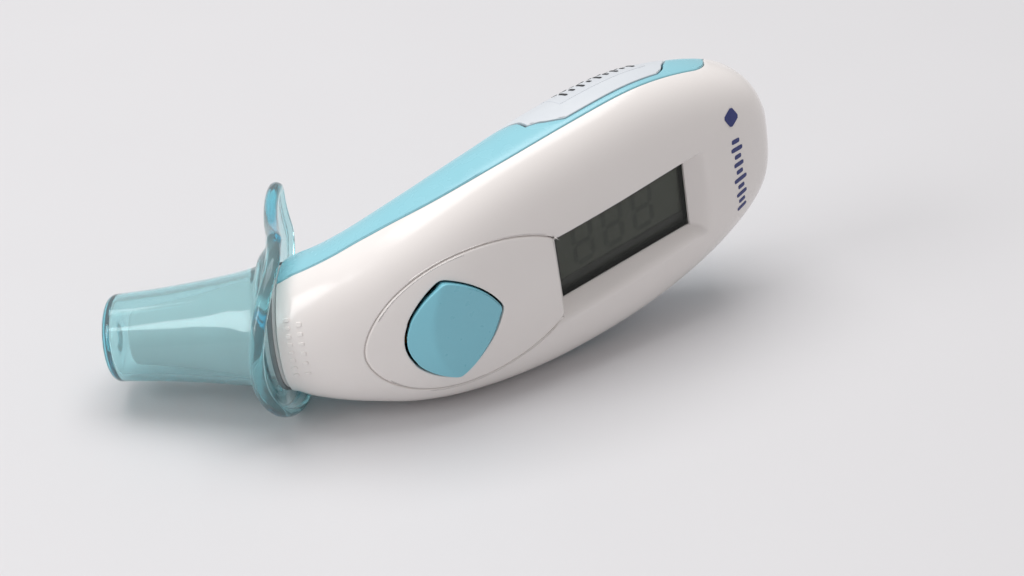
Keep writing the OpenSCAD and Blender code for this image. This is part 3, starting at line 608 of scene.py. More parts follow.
def ray_outline(angles):
    """Points of the panel's outline seen from the button's centre in these directions."""
    u = 1 - np.cos(np.linspace(0, math.pi / 2, 1500))
    u = np.concatenate([u[u < PANEL_PEAK], np.linspace(PANEL_PEAK, 1, 800)])
    side = np.stack([PANEL_X0 + u * (PANEL_X1 - PANEL_X0), panel_side(u)], -1)[::-1]
    closing = np.stack([np.full(60, PANEL_X1), np.linspace(0, PANEL_END, 60)], -1)[:-1]
    half = np.concatenate([closing, side])
    seen = np.arctan2(half[:, 1], half[:, 0] - BUTTON_X)
    a = np.abs((np.asarray(angles) + math.pi) % (2 * math.pi) - math.pi)
    x, z = np.interp(a, seen, half[:, 0]), np.interp(a, seen, half[:, 1])
    return np.stack([x, z * np.where(np.sin(angles) < 0, -1, 1)], -1)


corner = math.atan2(PANEL_END, PANEL_X1 - BUTTON_X)
end_rays = np.linspace(-corner, corner, 41)
rest_rays = np.linspace(corner, 2 * math.pi - corner, HOLE_POINTS - 40 + 1)[1:-1]
rays = np.concatenate([end_rays, rest_rays])
hole_edge = button_outline(BUTTON_GAP, rays)
plate_edge = ray_outline(rays)
steps = np.concatenate([[0, 0.07], np.linspace(0.13, 0.87, 16), [0.93, 1]])[:, None, None]
plate = hole_edge + (plate_edge - hole_edge) * steps


def panel_lip(q):
    """Crisp at the button, soft at the groove and fully rounded at the display."""
    if math.hypot(q.x - BUTTON_X, q.z) < 9.95 and q.x < 30:
        return 0.16
    return 0.34 + 0.3 * min(1, max(0, (q.x - PANEL_X1 + 0.6) / 0.5))


plate_points = front_point(plate[..., 0], plate[..., 1])
panel = walled_net("button_panel_moulding", plate_points, 1.6, panel_lip, close_cols=True)

# %% Build the ledge under the groove
GROOVE_DEPTH = 0.42
side = np.stack([PANEL_X0 + np.linspace(0, 1, 200) ** 2 * (PANEL_X1 - PANEL_X0 - 0.9)] * 2, -1)
side[:, 1] = panel_side((side[:, 0] - PANEL_X0) / (PANEL_X1 - PANEL_X0))
loop = np.concatenate([side[::-1], (side * [1, -1])[1:]])
middle_of = np.array([BUTTON_X, 0])
ledge = np.array([middle_of + (loop - middle_of) * (1 + f) for f in (-0.05, 0.0, 0.05)])
ledge = walled_net("panel_ledge", front_point(ledge[..., 0], ledge[..., 1], GROOVE_DEPTH), 0.5, 0.05)

# %% Build the button
CREASE_RADIUS, CREASE_X, BEVEL_SLOPE, CREASE_SOFT = 17.0, 32.0, 0.4, 0.5
FACE_DEPTH, FACE_LEAN, THUMB_DISH = 0.12, 0.11, 0.3
edge_line = button_outline(0, np.linspace(0, 2 * math.pi, 240, endpoint=False))
spokes = np.linspace(0, 1, 41)[1:, None, None]
face = np.array([BUTTON_X, 0]) + (edge_line - [BUTTON_X, 0]) * spokes


def button_depth(x, z, f):
    """A leaning face with a thumb dish, and a bevel beyond the crease on the probe side."""
    beyond = np.hypot(x - CREASE_X, z) - CREASE_RADIUS
    lean = FACE_LEAN * (x - BUTTON_X - BUTTON_CORNERS[0, 0])
    return FACE_DEPTH + lean + THUMB_DISH * (1 - f**2) + BEVEL_SLOPE * soft_floor(beyond, CREASE_SOFT)


depth = button_depth(face[..., 0], face[..., 1], spokes[..., 0])
bm = bmesh.new()
rows = net(bm, front_point(face[..., 0], face[..., 1], depth), close_cols=True)
middle_depth = float(button_depth(np.array(BUTTON_X), np.array(0.0), np.array(0.0)))
fan(bm, rows[0], front_point(np.array(BUTTON_X), np.array(0.0), middle_depth))
button = walled("button_moulding", bm, 2.2, 0.18)

# %% [markdown]
# ## Display stack
# Behind the clear window lies the liquid crystal glass. A printed black mask hides its edges;
# its wide band along the bottom is painted shade, the shadow deep between window and glass.
# When the display is off its segments still show as faint ghosts.
# Every digit repeats the same seven bars, so Geometry Nodes instance one bar on the points.

# %% Helper for node trees
def add(tree, kind, inputs=None, **props):
    """Adds a node, sets its properties, and sets or links its inputs."""
    node = tree.nodes.new(kind)
    for key, value in props.items():
        setattr(node, key, value)
    for key, value in (inputs or {}).items():
        socket = node.inputs[key]
        if isinstance(value, bpy.types.NodeSocket):
            tree.links.new(value, socket)
        else:
            socket.default_value = value
    return node


def lin(code, alpha=1.0):
    """An sRGB hex colour as linear values."""
    parts = [int(code[i:i + 2], 16) / 255 for i in (1, 3, 5)]
    return tuple(p / 12.92 if p <= 0.04045 else ((p + 0.055) / 1.055) ** 2.4 for p in parts) + (alpha,)


print("mid grey is", [round(v, 3) for v in lin("#808080")])

# %% [markdown]
# ## A tree that sets small copies in place
# Prints, ghost bars and raised dashes are all one small shape repeated. The tree takes a cloud
# of points that carry a turn and a size, puts the shape on each of them, makes the copies real
# and gives them their material. The finished piece is a plain mesh, so that it exports.

# %% Copies on points
def copies_tree():
    tree = bpy.data.node_groups.new("copies_on_points", "GeometryNodeTree")
    for name, kind in (("Geometry", "Geometry"), ("Shape", "Object"), ("Length", "Float"),
                       ("Width", "Float"), ("Height", "Float"), ("Finish", "Material")):
        tree.interface.new_socket(name, in_out="INPUT", socket_type="NodeSocket" + kind)
    tree.interface.new_socket("Geometry", in_out="OUTPUT", socket_type="NodeSocketGeometry")
    given = tree.nodes.new("NodeGroupInput").outputs
    shape = add(tree, "GeometryNodeObjectInfo", {"Object": given["Shape"]})
    turn = add(tree, "GeometryNodeInputNamedAttribute", {"Name": "turn"}, data_type="FLOAT_VECTOR")
    size = add(tree, "GeometryNodeInputNamedAttribute", {"Name": "size"}, data_type="FLOAT_VECTOR")
    sizes = add(tree, "ShaderNodeCombineXYZ", {"X": given["Length"], "Y": given["Width"], "Z": given["Height"]})
    scale = add(tree, "ShaderNodeVectorMath", {0: sizes.outputs[0], 1: size.outputs[0]}, operation="MULTIPLY")
    rotation = add(tree, "FunctionNodeEulerToRotation", {0: turn.outputs[0]})
    copies = add(tree, "GeometryNodeInstanceOnPoints", {
        "Points": given["Geometry"], "Instance": shape.outputs["Geometry"],
        "Rotation": rotation.outputs[0], "Scale": scale.outputs[0]})
    real = add(tree, "GeometryNodeRealizeInstances", {"Geometry": copies.outputs[0]})
    dressed = add(tree, "GeometryNodeSetMaterial", {"Geometry": real.outputs[0], "Material": given["Finish"]})
    add(tree, "NodeGroupOutput", {0: dressed.outputs[0]})
    return tree


COPIES = copies_tree()


def tile(outline, dome):
    """A small plate of unit size with a domed top, as a shape to copy."""
    bm = bmesh.new()
    rows = []
    for shrink, height in ((1, 0), (1, 0.5), (0.93, 0.8), (0.8, 1 if dome else 0.85)):
        rows.append([(x * shrink, y * shrink, height) for x, y in outline])
    verts = net(bm, np.array(rows), close_cols=True)
    fan(bm, verts[-1], (0, 0, 1))
    fan(bm, verts[0][::-1], (0, 0, 0))
    bmesh.ops.recalc_face_normals(bm, faces=bm.faces)
    mesh = bpy.data.meshes.new("tile")
    bm.to_mesh(mesh)
    bm.free()
    return bpy.data.objects.new("tile", mesh)


def rounded(power, count=20):
    """A unit outline between a circle and a square."""
    a = np.linspace(0, 2 * math.pi, count, endpoint=False)
    reach = (np.abs(np.cos(a)) ** power + np.abs(np.sin(a)) ** power) ** (-1 / power) / 2
    return np.stack([reach * np.cos(a), reach * np.sin(a)], -1)


SEGMENT = np.array([(-0.5, 0), (-0.4, 0.5), (0.4, 0.5), (0.5, 0), (0.4, -0.5), (-0.4, -0.5)])


def set_copies(name, shape, places, length, width, height, finish):
    """Places are (point in body mm, x axis, outward axis, size along x)."""
    mesh = bpy.data.meshes.new(name)
    mesh.from_pydata([tuple(p) for p in lay([q[0] for q in places])], [], [])
    turns, scales = [], []
    for _, x_axis, out, stretch in places:
        x_axis = Vector(REST_TURN @ np.asarray(x_axis, float)).normalized()
        out = Vector(REST_TURN @ np.asarray(out, float)).normalized()
        x_axis = (x_axis - out * x_axis.dot(out)).normalized()
        axes = Matrix((x_axis, out.cross(x_axis), out)).transposed()
        turns.extend(axes.to_euler())
        scales.extend((stretch, 1, 1))
    for key, values in (("turn", turns), ("size", scales)):
        mesh.attributes.new(key, "FLOAT_VECTOR", "POINT").data.foreach_set("vector", values)
    piece = bpy.data.objects.new(name, mesh)
    bpy.context.scene.collection.objects.link(piece)
    inputs = {"Shape": shape, "Length": length * MM, "Width": width * MM, "Height": height * MM, "Finish": finish}
    modifier = piece.modifiers.new("copies", "NODES")
    modifier.node_group = COPIES
    for socket in COPIES.interface.items_tree:
        if socket.in_out == "INPUT" and socket.name in inputs:
            modifier[socket.identifier] = inputs[socket.name]
    freeze(piece)
    print(name, len(places), "copies,", len(piece.data.polygons), "faces")
    return piece


def on_skin(t, angle, proud=0.0):
    """Point, direction along the body, direction round it, and outward axis."""
    p = skin(t, angle, -proud)
    along = skin(t + 0.02, angle) - skin(t - 0.02, angle)
    around = skin(t, angle + 0.6) - skin(t, angle - 0.6)
    out = np.cross(along, around)
    middle = station(t)
    if out @ (p - np.array([middle[0], middle[1], 0])) < 0:
        out = -out
    return p, along, around, out


print("copies tree has", len(COPIES.nodes), "nodes")

# %% [markdown]
# ## Probe cap
# The cap is one clear moulding: a tapered cone with a flat end, a flange that bends over the
# body's shoulder, a thick bead round the flange, and a thumb tab. One cross-section is walked
# all the way round the axis, and only the reach of the flange changes with the direction, so
# the whole wall is a single closed net. Clear plastic needs that, because light is bent at
# each face and tinted by the thickness in between.

# %% Build the cap
CAP_CURVE = [(9.9, 3), (9.2, 6), (8.55, 10), (7.95, 15), (7.45, 20), (7.15, 24.5), (7.05, 26.4)]
CAP_LENGTH, CAP_ROUND, CAP_WALL = 27.9, 1.4, 1.2
HUB, FLANGE_RADIUS, TAB_REACH, TAB_HALF, FLANGE_MID = 10.9, 14.5, 32.8, 6.4, 1.6
TAB_FLARE, RIM_BLEND = 0.22, 9
BEAD_WIDE, BEAD_HIGH, PLATE_HALF = 1.1, 1.2, 0.75


def smooth_line(points, count):
    """A Catmull-Rom line through a few points."""
    p = np.array(points, float)
    p = np.vstack([2 * p[0] - p[1], p, 2 * p[-1] - p[-2]])
    u = np.linspace(0, len(points) - 1 - 1e-9, count)
    i = u.astype(int)
    f = (u - i)[:, None]
    a, b, c, d = p[i], p[i + 1], p[i + 2], p[i + 3]
    return 0.5 * (2 * b + (c - a) * f + (2 * a - 5 * b + 4 * c - d) * f**2 + (3 * b - a - 3 * c + d) * f**3)


def on_probe(p):
    """Local X towards the back, Z along the probe to its tip."""
    x, y, z = p[..., 0], p[..., 1], p[..., 2]
    return np.stack([SIN_P * x - COS_P * z, COS_P * x + SIN_P * z, -y], -1)


def rim_radius(a):
    """Reach of the flange in direction a: a circle drawn out into the tab, like a teardrop."""
    forward = np.maximum(np.cos(a), 1e-4)
    flank = (TAB_HALF + TAB_FLARE * TAB_REACH) / (np.abs(np.sin(a)) + TAB_FLARE * forward)
    tab = ((TAB_REACH / forward) ** -12 + flank**-12) ** (-1 / 12) * soft_step(np.cos(a) / 0.4) + 0.01
    return (FLANGE_RADIUS**RIM_BLEND + tab**RIM_BLEND) ** (1 / RIM_BLEND)


def flange_height(q, z):
    r = np.hypot(q, z)
    saddle = 2 - 3.3 * (np.minimum(np.abs(z), FLANGE_RADIUS) / 14) ** 2
    lean = 2.6 * soft_step((q + 2) / 30)
    return FLANGE_MID + (saddle - FLANGE_MID) * soft_step((r - HUB) / 2.4) + lean


u = np.linspace(0, 1, 2401)
sweep = 2 * math.pi * u - math.radians(26) * np.sin(2 * math.pi * u)
outline = np.stack([rim_radius(sweep) * np.cos(sweep), rim_radius(sweep) * np.sin(sweep)], -1)
share = even(outline, 321)[:-1]
direction = np.interp(share, u, sweep)
radius = rim_radius(direction)
edge = np.stack([radius * np.cos(direction), radius * np.sin(direction)], -1)
tangent = np.roll(edge, -1, 0) - np.roll(edge, 1, 0)
inward = np.stack([-tangent[:, 1], tangent[:, 0]], -1) / np.linalg.norm(tangent, axis=1)[:, None]
bead_middle = edge + inward * BEAD_WIDE
hub = HUB * np.stack([np.cos(direction), np.sin(direction)], -1)

GATE = [(0.0, CAP_LENGTH - 0.3), (0.7, CAP_LENGTH - 0.3), (1.25, CAP_LENGTH - 0.26), (1.45, CAP_LENGTH - 0.05),
        (1.6, CAP_LENGTH), (3.4, CAP_LENGTH), (5.2, CAP_LENGTH)]
tip_r = CAP_CURVE[-1][0]
bend = np.radians(np.arange(80, -1, -10))
corner_line = [(tip_r - CAP_ROUND * (1 - math.cos(b)), CAP_LENGTH - CAP_ROUND * (1 - math.sin(b))) for b in bend]
outer = GATE + corner_line + [tuple(p) for p in smooth_line(CAP_CURVE[::-1], 26)]
outer += [(9.96, 2.75), (10.12, 2.5), (10.45, 2.38)]
inner = [(r - CAP_WALL + 0.02, l) for r, l in smooth_line(CAP_CURVE, 20)]
mouth = [(10.5, FLANGE_MID - PLATE_HALF), (10.25, 0.95), (9.6, 1.9)] + inner
mouth += [(5.6, CAP_LENGTH - CAP_WALL - 0.05), (4.8, CAP_LENGTH - CAP_WALL), (2.0, CAP_LENGTH - CAP_WALL),
          (0.0, CAP_LENGTH - CAP_WALL)]


def turned(profile):
    r, l = np.array(profile, float).T
    ones = np.ones(len(direction))
    return np.stack([r[:, None] * np.cos(direction), r[:, None] * np.sin(direction), l[:, None] * ones], -1)


def plate_rows(side):
    """Rows on one face of the flange, from the hub to the bead."""
    rows = []
    for f in np.linspace(0, 1, 15)[:-1]:
        flat = hub + (bead_middle - hub) * f
        rows.append(np.column_stack([flat, flange_height(*flat.T) + side * PLATE_HALF]))
    return rows


bead_rows = []
for b in np.radians(np.linspace(70, -70, 13)):
    flat = bead_middle - inward * BEAD_WIDE * math.cos(b)
    bead_rows.append(np.column_stack([flat, flange_height(*bead_middle.T) + BEAD_HIGH * math.sin(b)]))
root_in = bead_middle + inward * 0.35
for side in (1, -1):
    swell = np.column_stack([bead_middle, flange_height(*bead_middle.T) + side * BEAD_HIGH])
    foot_row = np.column_stack([root_in, flange_height(*root_in.T) + side * (PLATE_HALF + 0.28)])
    bead_rows.insert(0 if side > 0 else len(bead_rows), swell)
    bead_rows.insert(0 if side > 0 else len(bead_rows), foot_row)
section = list(turned(outer)) + plate_rows(1) + bead_rows + plate_rows(-1)[::-1] + list(turned(mouth))
bm = bmesh.new()
net(bm, on_probe(np.array(section)), close_cols=True)
bmesh.ops.remove_doubles(bm, verts=bm.verts, dist=1e-3)
bmesh.ops.recalc_face_normals(bm, faces=bm.faces)
cap = finish_mesh("probe_cap_moulding", bm)

# %% [markdown]
# ## Probe nose
# Under the cap the nose is a slim tapered tube. It is a plain turned shape, so its profile is
# spun round the probe's axis.

# %% Build the nose
NOSE = [(8.3, 0.6), (8.1, 3), (7.2, 7.5), (6.2, 12), (5.2, 18), (4.4, 24)]
NOSE_WALL = 1.3
nose_out = smooth_line(NOSE, 40)
nose_profile = [(6.9, -3.6), (8.2, -3.6), (8.2, -1), (9.7, -1), (9.7, 0.45), (9.55, 0.6), (8.5, 0.6), (8.35, 0.75)]
nose_profile += [tuple(p) for p in nose_out[2:-1]] + [(4.4, 23.7), (4.1, 24), (3.4, 24), (3.1, 23.8)]
nose_profile += [(r - NOSE_WALL, l) for r, l in nose_out[::-1][2:-2]]
bm = lathe(nose_profile, on_probe, 96, closed=True)
bmesh.ops.recalc_face_normals(bm, faces=bm.faces)
nose = finish_mesh("probe_nose_moulding", bm)

# %% [markdown]
# ## Sill, mask and painted shade of the display
# Between the panel's end and the window a short sill closes the gap. Behind the window a thin
# black sheet, open in the middle, is a printed mask over the edges of the glass, and its wide
# band below the opening is painted shade.

# %% Build the sill, and the mask with its painted shade
SILL_HALF = 7.6
sill_line = np.array([(40.35, LENS_Y - 0.02), (39.3, LENS_Y - 0.04), (38.95, LENS_Y - 0.25), (38.9, LENS_Y - 1.6)])
sill_z = np.linspace(-SILL_HALF, SILL_HALF, 24)
grid = np.stack([np.column_stack([sill_line, np.full(len(sill_line), z)]) for z in sill_z])
sill = walled_net("display_sill", grid, 0.4, 0.05)

GLASS_Y = LENS_Y + 1.1
# The opening sits high in the black sheet: the wide band below it is painted shade, the rest is printed mask.
MASK_AND_SHADE_OPEN = (41.3, 66.5, -4.4, 6.5)
MASK_AND_SHADE_OUTER = (39.6, 67.6, -7.3, 7.3)


def rectangle(x0, x1, z0, z1, count=12):
    x, z = np.linspace(x0, x1, count), np.linspace(z0, z1, count)
    sides = [(x, z[0]), (x[-1], z), (x[::-1], z[-1]), (x[0], z[::-1])]
    return np.concatenate([np.stack(np.broadcast_arrays(a, b), -1)[:-1] for a, b in sides])


mask_and_shade_rows = []
for f in (0, 0.5, 1):
    ring = np.array(rectangle(*MASK_AND_SHADE_OPEN)) * (1 - f) + np.array(rectangle(*MASK_AND_SHADE_OUTER)) * f
    mask_and_shade_rows.append(np.stack([ring[:, 0], np.full(len(ring), GLASS_Y - 0.07), ring[:, 1]], -1))
mask_and_shade = walled_net("lcd_mask", np.array(mask_and_shade_rows), 0.04, 0.01, (53, 0, 0), close_cols=True)

# %% [markdown]
# ## Finishes
# Each material starts from its real name and how its surface was made. A moulded plastic is
# never one flat value: its colour drifts a little where the melt cooled, its gloss varies, and
# a fine orange-peel texture breaks the highlights. One recipe covers that, with the colours,
# the grain in millimetres and the gloss as its arguments. Constants go on the shader itself.

# %% The recipe for a surface
def new_material(name):
    material = bpy.data.materials.new(name)
    material.use_nodes = True
    material.node_tree.nodes.clear()
    return material, material.node_tree


def surface(name, dark, light, grain, rough, spread=0.04, bump=0.004, stretch=(1, 1, 1), **shader):
    """A material whose colour, gloss and relief vary with noise. Grain and bump are in millimetres."""
    material, tree = new_material(name)
    place = add(tree, "ShaderNodeTexCoord").outputs["Object"]
    sized = add(tree, "ShaderNodeMapping", {"Vector": place, "Scale": stretch}).outputs[0]
    drift = add(tree, "ShaderNodeTexNoise", {"Vector": sized, "Scale": 1 / (grain * MM), "Detail": 3.0})
    peel = add(tree, "ShaderNodeTexNoise", {"Vector": sized, "Scale": 6 / (grain * MM), "Detail": 2.0})
    colour = add(tree, "ShaderNodeMix", {0: drift.outputs[0], 6: lin(dark), 7: lin(light)}, data_type="RGBA")
    gloss = add(tree, "ShaderNodeMapRange", {
        "Value": peel.outputs[0], "From Min": 0.3, "From Max": 0.7,
        "To Min": max(rough - spread, 0.02), "To Max": rough + spread})
    relief = add(tree, "ShaderNodeBump", {"Height": peel.outputs[0], "Distance": bump * MM, "Strength": 1.0})
    values = {"Base Color": colour.outputs[2], "Roughness": gloss.outputs[0], "Normal": relief.outputs[0]}
    values.update(shader)
    skin_shader = add(tree, "ShaderNodeBsdfPrincipled", values)
    add(tree, "ShaderNodeOutputMaterial", {"Surface": skin_shader.outputs[0]})
    return material


ABS_IOR = 1.54
# Warm white ABS, polished mould: deep even gloss with a faint orange peel.
white_abs = surface("abs_white_gloss", "#ebe5e2", "#f1ece9", 14, 0.2, 0.03, 0.0008, IOR=ABS_IOR)
# Aqua ABS, the same tool finish.
aqua_abs = surface("abs_aqua_gloss", "#8ac6d4", "#95cdd9", 14, 0.26, 0.04, 0.0008, IOR=ABS_IOR)
# Teal ABS of the button, slightly softer gloss where thumbs have rubbed it.
teal_abs = surface("abs_teal_satin", "#80c6d8", "#86ccdc", 12, 0.3, 0.03, 0.0002, IOR=ABS_IOR)
# Cool white ABS of the door, with a fine spark texture.
door_abs = surface("abs_door_satin", "#ced3d9", "#d6dade", 6, 0.42, 0.06, 0.003, IOR=ABS_IOR)
nose_abs = surface("abs_nose_satin", "#e6e8e8", "#eff0f0", 8, 0.35, 0.05, 0.002, IOR=ABS_IOR)
film = surface("polyester_label_film", "#cdd2d8", "#d4d8dd", 3, 0.38, 0.05, 0.002, IOR=1.57)
navy_ink = surface("pad_print_ink_navy", "#27306c", "#333d7d", 1.2, 0.45, 0.08, 0.004, IOR=1.5)
black_ink = surface("pad_print_ink_black", "#202124", "#303236", 1.2, 0.5, 0.08, 0.004, IOR=1.5)
# This black prints the display mask and also paints the shade along the window's bottom.
mask_ink_and_painted_shade = surface("screen_print_black_and_painted_shade", "#141310", "#1e1c17", 2, 0.4, 0.06, 0.002, IOR=1.5)
print("surfaces so far:", len(bpy.data.materials))

# %% [markdown]
# ## Clear cap
# The cap is tinted clear plastic, such as SAN. A thin wall hardly shows the tint, while light
# that runs along the flange or the bead crosses many millimetres of it and comes out deep
# cyan. A volume that absorbs red gives both from one number, so no edge colour is painted.

# %% Clear materials
def clear(name, tint, ior, rough, absorb, density, pure, grain=5):
    """A see-through plastic, tinted by its thickness."""
    material, tree = new_material(name)
    place = add(tree, "ShaderNodeTexCoord").outputs["Object"]
    wave = add(tree, "ShaderNodeTexNoise", {"Vector": place, "Scale": 1 / (grain * MM), "Detail": 2.0})
    relief = add(tree, "ShaderNodeBump", {"Height": wave.outputs[0], "Distance": 0.02 * MM, "Strength": 0.5})
    gloss = add(tree, "ShaderNodeMapRange", {
        "Value": wave.outputs[0], "From Min": 0.3, "From Max": 0.7, "To Min": rough, "To Max": rough + 0.03})
    body = add(tree, "ShaderNodeBsdfPrincipled", {
        "Base Color": lin(tint), "Roughness": gloss.outputs[0], "Normal": relief.outputs[0],
        "IOR": ior, "Transmission Weight": pure})
    inside = add(tree, "ShaderNodeVolumeAbsorption", {"Color": lin(absorb), "Density": density})
    add(tree, "ShaderNodeOutputMaterial", {"Surface": body.outputs[0], "Volume": inside.outputs[0]})
    return material


san_aqua = clear("san_clear_aqua", "#eefbfc", 1.46, 0.02, absorb="#30eef8", density=170, pure=0.88)
# The flat window is so thin that plain see-through gloss does the same job.
pmma_lens = surface("pmma_window", "#5b5f5a", "#636761", 8, 0.06, 0.02, 0.0003, IOR=1.49, Alpha=0.16)

# %% [markdown]
# ## The sleeping display
# A liquid crystal glass that is switched off is a flat grey-green mirror behind a polariser.
# Very faint clouds break it up, and the unlit segments are a shade darker than their ground.

# %% Display finishes
DULL = {"Specular IOR Level": 0.25}
lcd_ground = surface("lcd_polariser_off", "#4a4d44", "#53564c", 7, 0.35, 0.03, 0.0005, **DULL)
lcd_ghost = surface("lcd_segments_off", "#3a3d36", "#40433c", 5, 0.35, 0.03, 0.0005, **DULL)
print("clear and display finishes made")

# %% [markdown]
# ## Inside parts
# Nothing inside shows while the shells are closed, but each part gets the finish that it has
# in a real instrument: tinned steel, nickel, epoxy, solder mask, rubber and heat-seal foil.
# Drawn metal is streaked along one direction, so its noise is stretched that way.

# %% Finishes of the inner parts
DRAWN = (1, 1, 12)
steel = surface("steel_zinc_plated", "#b9babd", "#cfd0d3", 2, 0.28, 0.08, 0.003, DRAWN, Metallic=1.0)
nickel = surface("nickel_plated_strip", "#c3c0b8", "#d6d3cb", 3, 0.25, 0.08, 0.002, DRAWN, Metallic=1.0)
gold = surface("brass_gold_flashed", "#d9ad55", "#e8c06c", 2, 0.2, 0.06, 0.002, DRAWN, Metallic=1.0)
aluminium = surface("aluminium_turned", "#b7babd", "#cdd0d2", 1.5, 0.33, 0.08, 0.004, DRAWN, Metallic=1.0)
chrome = surface("chrome_plated_ring", "#cfd1d4", "#e0e2e4", 4, 0.1, 0.04, 0.001, Metallic=1.0)
tray_abs = surface("abs_natural_matte", "#d8d6cd", "#e2e0d8", 5, 0.5, 0.08, 0.008, IOR=ABS_IOR)
frame_pom = surface("acetal_white_matte", "#e2e2dd", "#ecece8", 5, 0.48, 0.06, 0.006, IOR=1.48)
black_rubber = surface("silicone_black", "#141415", "#222224", 1.5, 0.7, 0.1, 0.01, IOR=1.41)
grey_rubber = surface("silicone_grey", "#7c8082", "#8d9193", 1.5, 0.65, 0.1, 0.01, IOR=1.41)
epoxy = surface("epoxy_moulding_compound", "#17171a", "#232327", 0.8, 0.6, 0.1, 0.01, IOR=1.55)
ceramic = surface("ceramic_capacitor", "#8d7557", "#a38a69", 0.6, 0.5, 0.1, 0.01, IOR=1.6)
contact_pom = surface("acetal_cream", "#d3ccb4", "#ded8c3", 1.5, 0.45, 0.08, 0.004, IOR=1.48)
germanium = surface("silicon_window_coated", "#2b2536", "#3b3048", 1.5, 0.08, 0.03, 0.001, IOR=2.0)


def banded(name, base, band, width, along, rough, **shader):
    """A surface with even stripes, such as foil tracks or a printed sleeve."""
    material = surface(name, base, band, 2, rough, 0.06, 0.004, **shader)
    tree = material.node_tree
    place = next(n for n in tree.nodes if n.type == "TEX_COORD").outputs["Object"]
    stripes = add(tree, "ShaderNodeTexWave", {"Vector": place, "Scale": 0.314 / (width * MM), "Distortion": 0.4},
                  bands_direction=along)
    mix = next(n for n in tree.nodes if n.type == "MIX")
    tree.nodes.remove(mix.inputs[0].links[0].from_node)
    tree.links.new(stripes.outputs["Fac"], mix.inputs[0])
    return material


board = banded("solder_mask_green", "#145c38", "#1c7448", 1.2, "Z", 0.35, IOR=1.55)
ribbon = banded("polyimide_ribbon", "#a8641c", "#c98a3a", 0.8, "Z", 0.3, IOR=1.7)
sleeve = banded("pvc_cell_sleeve", "#3b4652", "#55636f", 9.0, "X", 0.3, IOR=1.53)
print("materials:", len(bpy.data.materials))

# %% [markdown]
# ## Prints and raised marks
# The tail carries a small navy print, the neck a few raised marks, and the door a label with
# printed bars. Here they are plain bars and dots that say nothing, in the places and the
# colours that such marks have. The ghost bars of the display are set the same way.

# %% Set the small copies
pad, dash, bar_shape = tile(rounded(6), False), tile(rounded(4), True), tile(SEGMENT, False)
INK = 0.06
tail_places = []
MARK_Z = np.linspace(-8.6, 5.2, 10)
MARK_LENGTHS = (2.2, 1.5, 2.4, 1.5, 2.9, 1.5, 2.2, 1.5, 2.6, 1.8)
for z, size in zip(MARK_Z, MARK_LENGTHS):
    t, a = true_ta(np.array(77.4 - 0.035 * z), np.array(z))
    p, along, around, out = on_skin(float(t), float(a), 0.01)
    tail_places.append((p, along, out, size))
print_bars = set_copies("tail_print_bars", pad, tail_places, 1, 0.85, INK, navy_ink)
t, a = true_ta(np.array(77.3), np.array(9.6))
p, along, around, out = on_skin(float(t), float(a), 0.01)
print_dot = set_copies("tail_print_dot", pad, [(p, along + around, out, 1)], 2.6, 2.6, INK, navy_ink)

neck_places = []
for t, angles in ((0.2, np.arange(262, 314, 7)), (0.42, np.arange(264, 312, 8))):
    for k, a in enumerate(angles):
        p, along, around, out = on_skin(t, float(a), -0.02)
        neck_places.append((p, around, out, 0.75 + 0.2 * (k % 3)))
neck_marks = set_copies("neck_raised_marks", dash, neck_places, 0.7, 0.9, 0.16, white_abs)

label_places = []
for row, a in enumerate((15, 27)):
    for k, t in enumerate(np.linspace(4.3, 5.3, 9)):
        p, along, around, out = on_skin(float(t), float(a), DOOR_PROUD + 0.06)
        label_places.append((p, around, out, (1.0, 0.7, 1.0, 0.55)[(k + row) % 4]))
label_bars = set_copies("label_print_bars", pad, label_places, 2.2, 0.6, INK, black_ink)

SEVEN_BARS = [(0, dz, False) for dz in (1, 0, -1)] + [(dx, dz, True) for dz in (0.5, -0.5) for dx in (-0.5, 0.5)]
digit_places = []
DIGIT_X, DIGIT_Z, DIGIT_W, DIGIT_H = (46.4, 52.6, 58.8), 0.5, 3.5, 3.7
for x in DIGIT_X:
    for dx, dz, upright in SEVEN_BARS:
        centre_at = (x + dx * DIGIT_W, GLASS_Y - 0.01, DIGIT_Z + dz * DIGIT_H)
        digit_places.append((centre_at, (0, 0, 1) if upright else (1, 0, 0), (0, -1, 0), 1))
ghosts = set_copies("lcd_ghost_segments", bar_shape, digit_places, 3.2, 0.95, 0.03, lcd_ghost)

# %% [markdown]
# ## The door label
# A thin film with rounded corners is stuck on the door where the hand doesn't rub it.

# %% Build the label
label_t = np.linspace(4.12, 5.42, 30)[:, None]
label_a = np.linspace(5, 42, 40)[None, :]
LABEL_PROUD = DOOR_PROUD + 0.06
label = walled_net("door_label_film", skin(label_t, label_a, -LABEL_PROUD), 0.08, 0.03)

# %% [markdown]
# ## Put everything together
# Each piece takes its finish, names the CAD nodes that it stands for and rides on the body
# that it belongs to. The CAD nodes that stay get the finishes of the real parts.

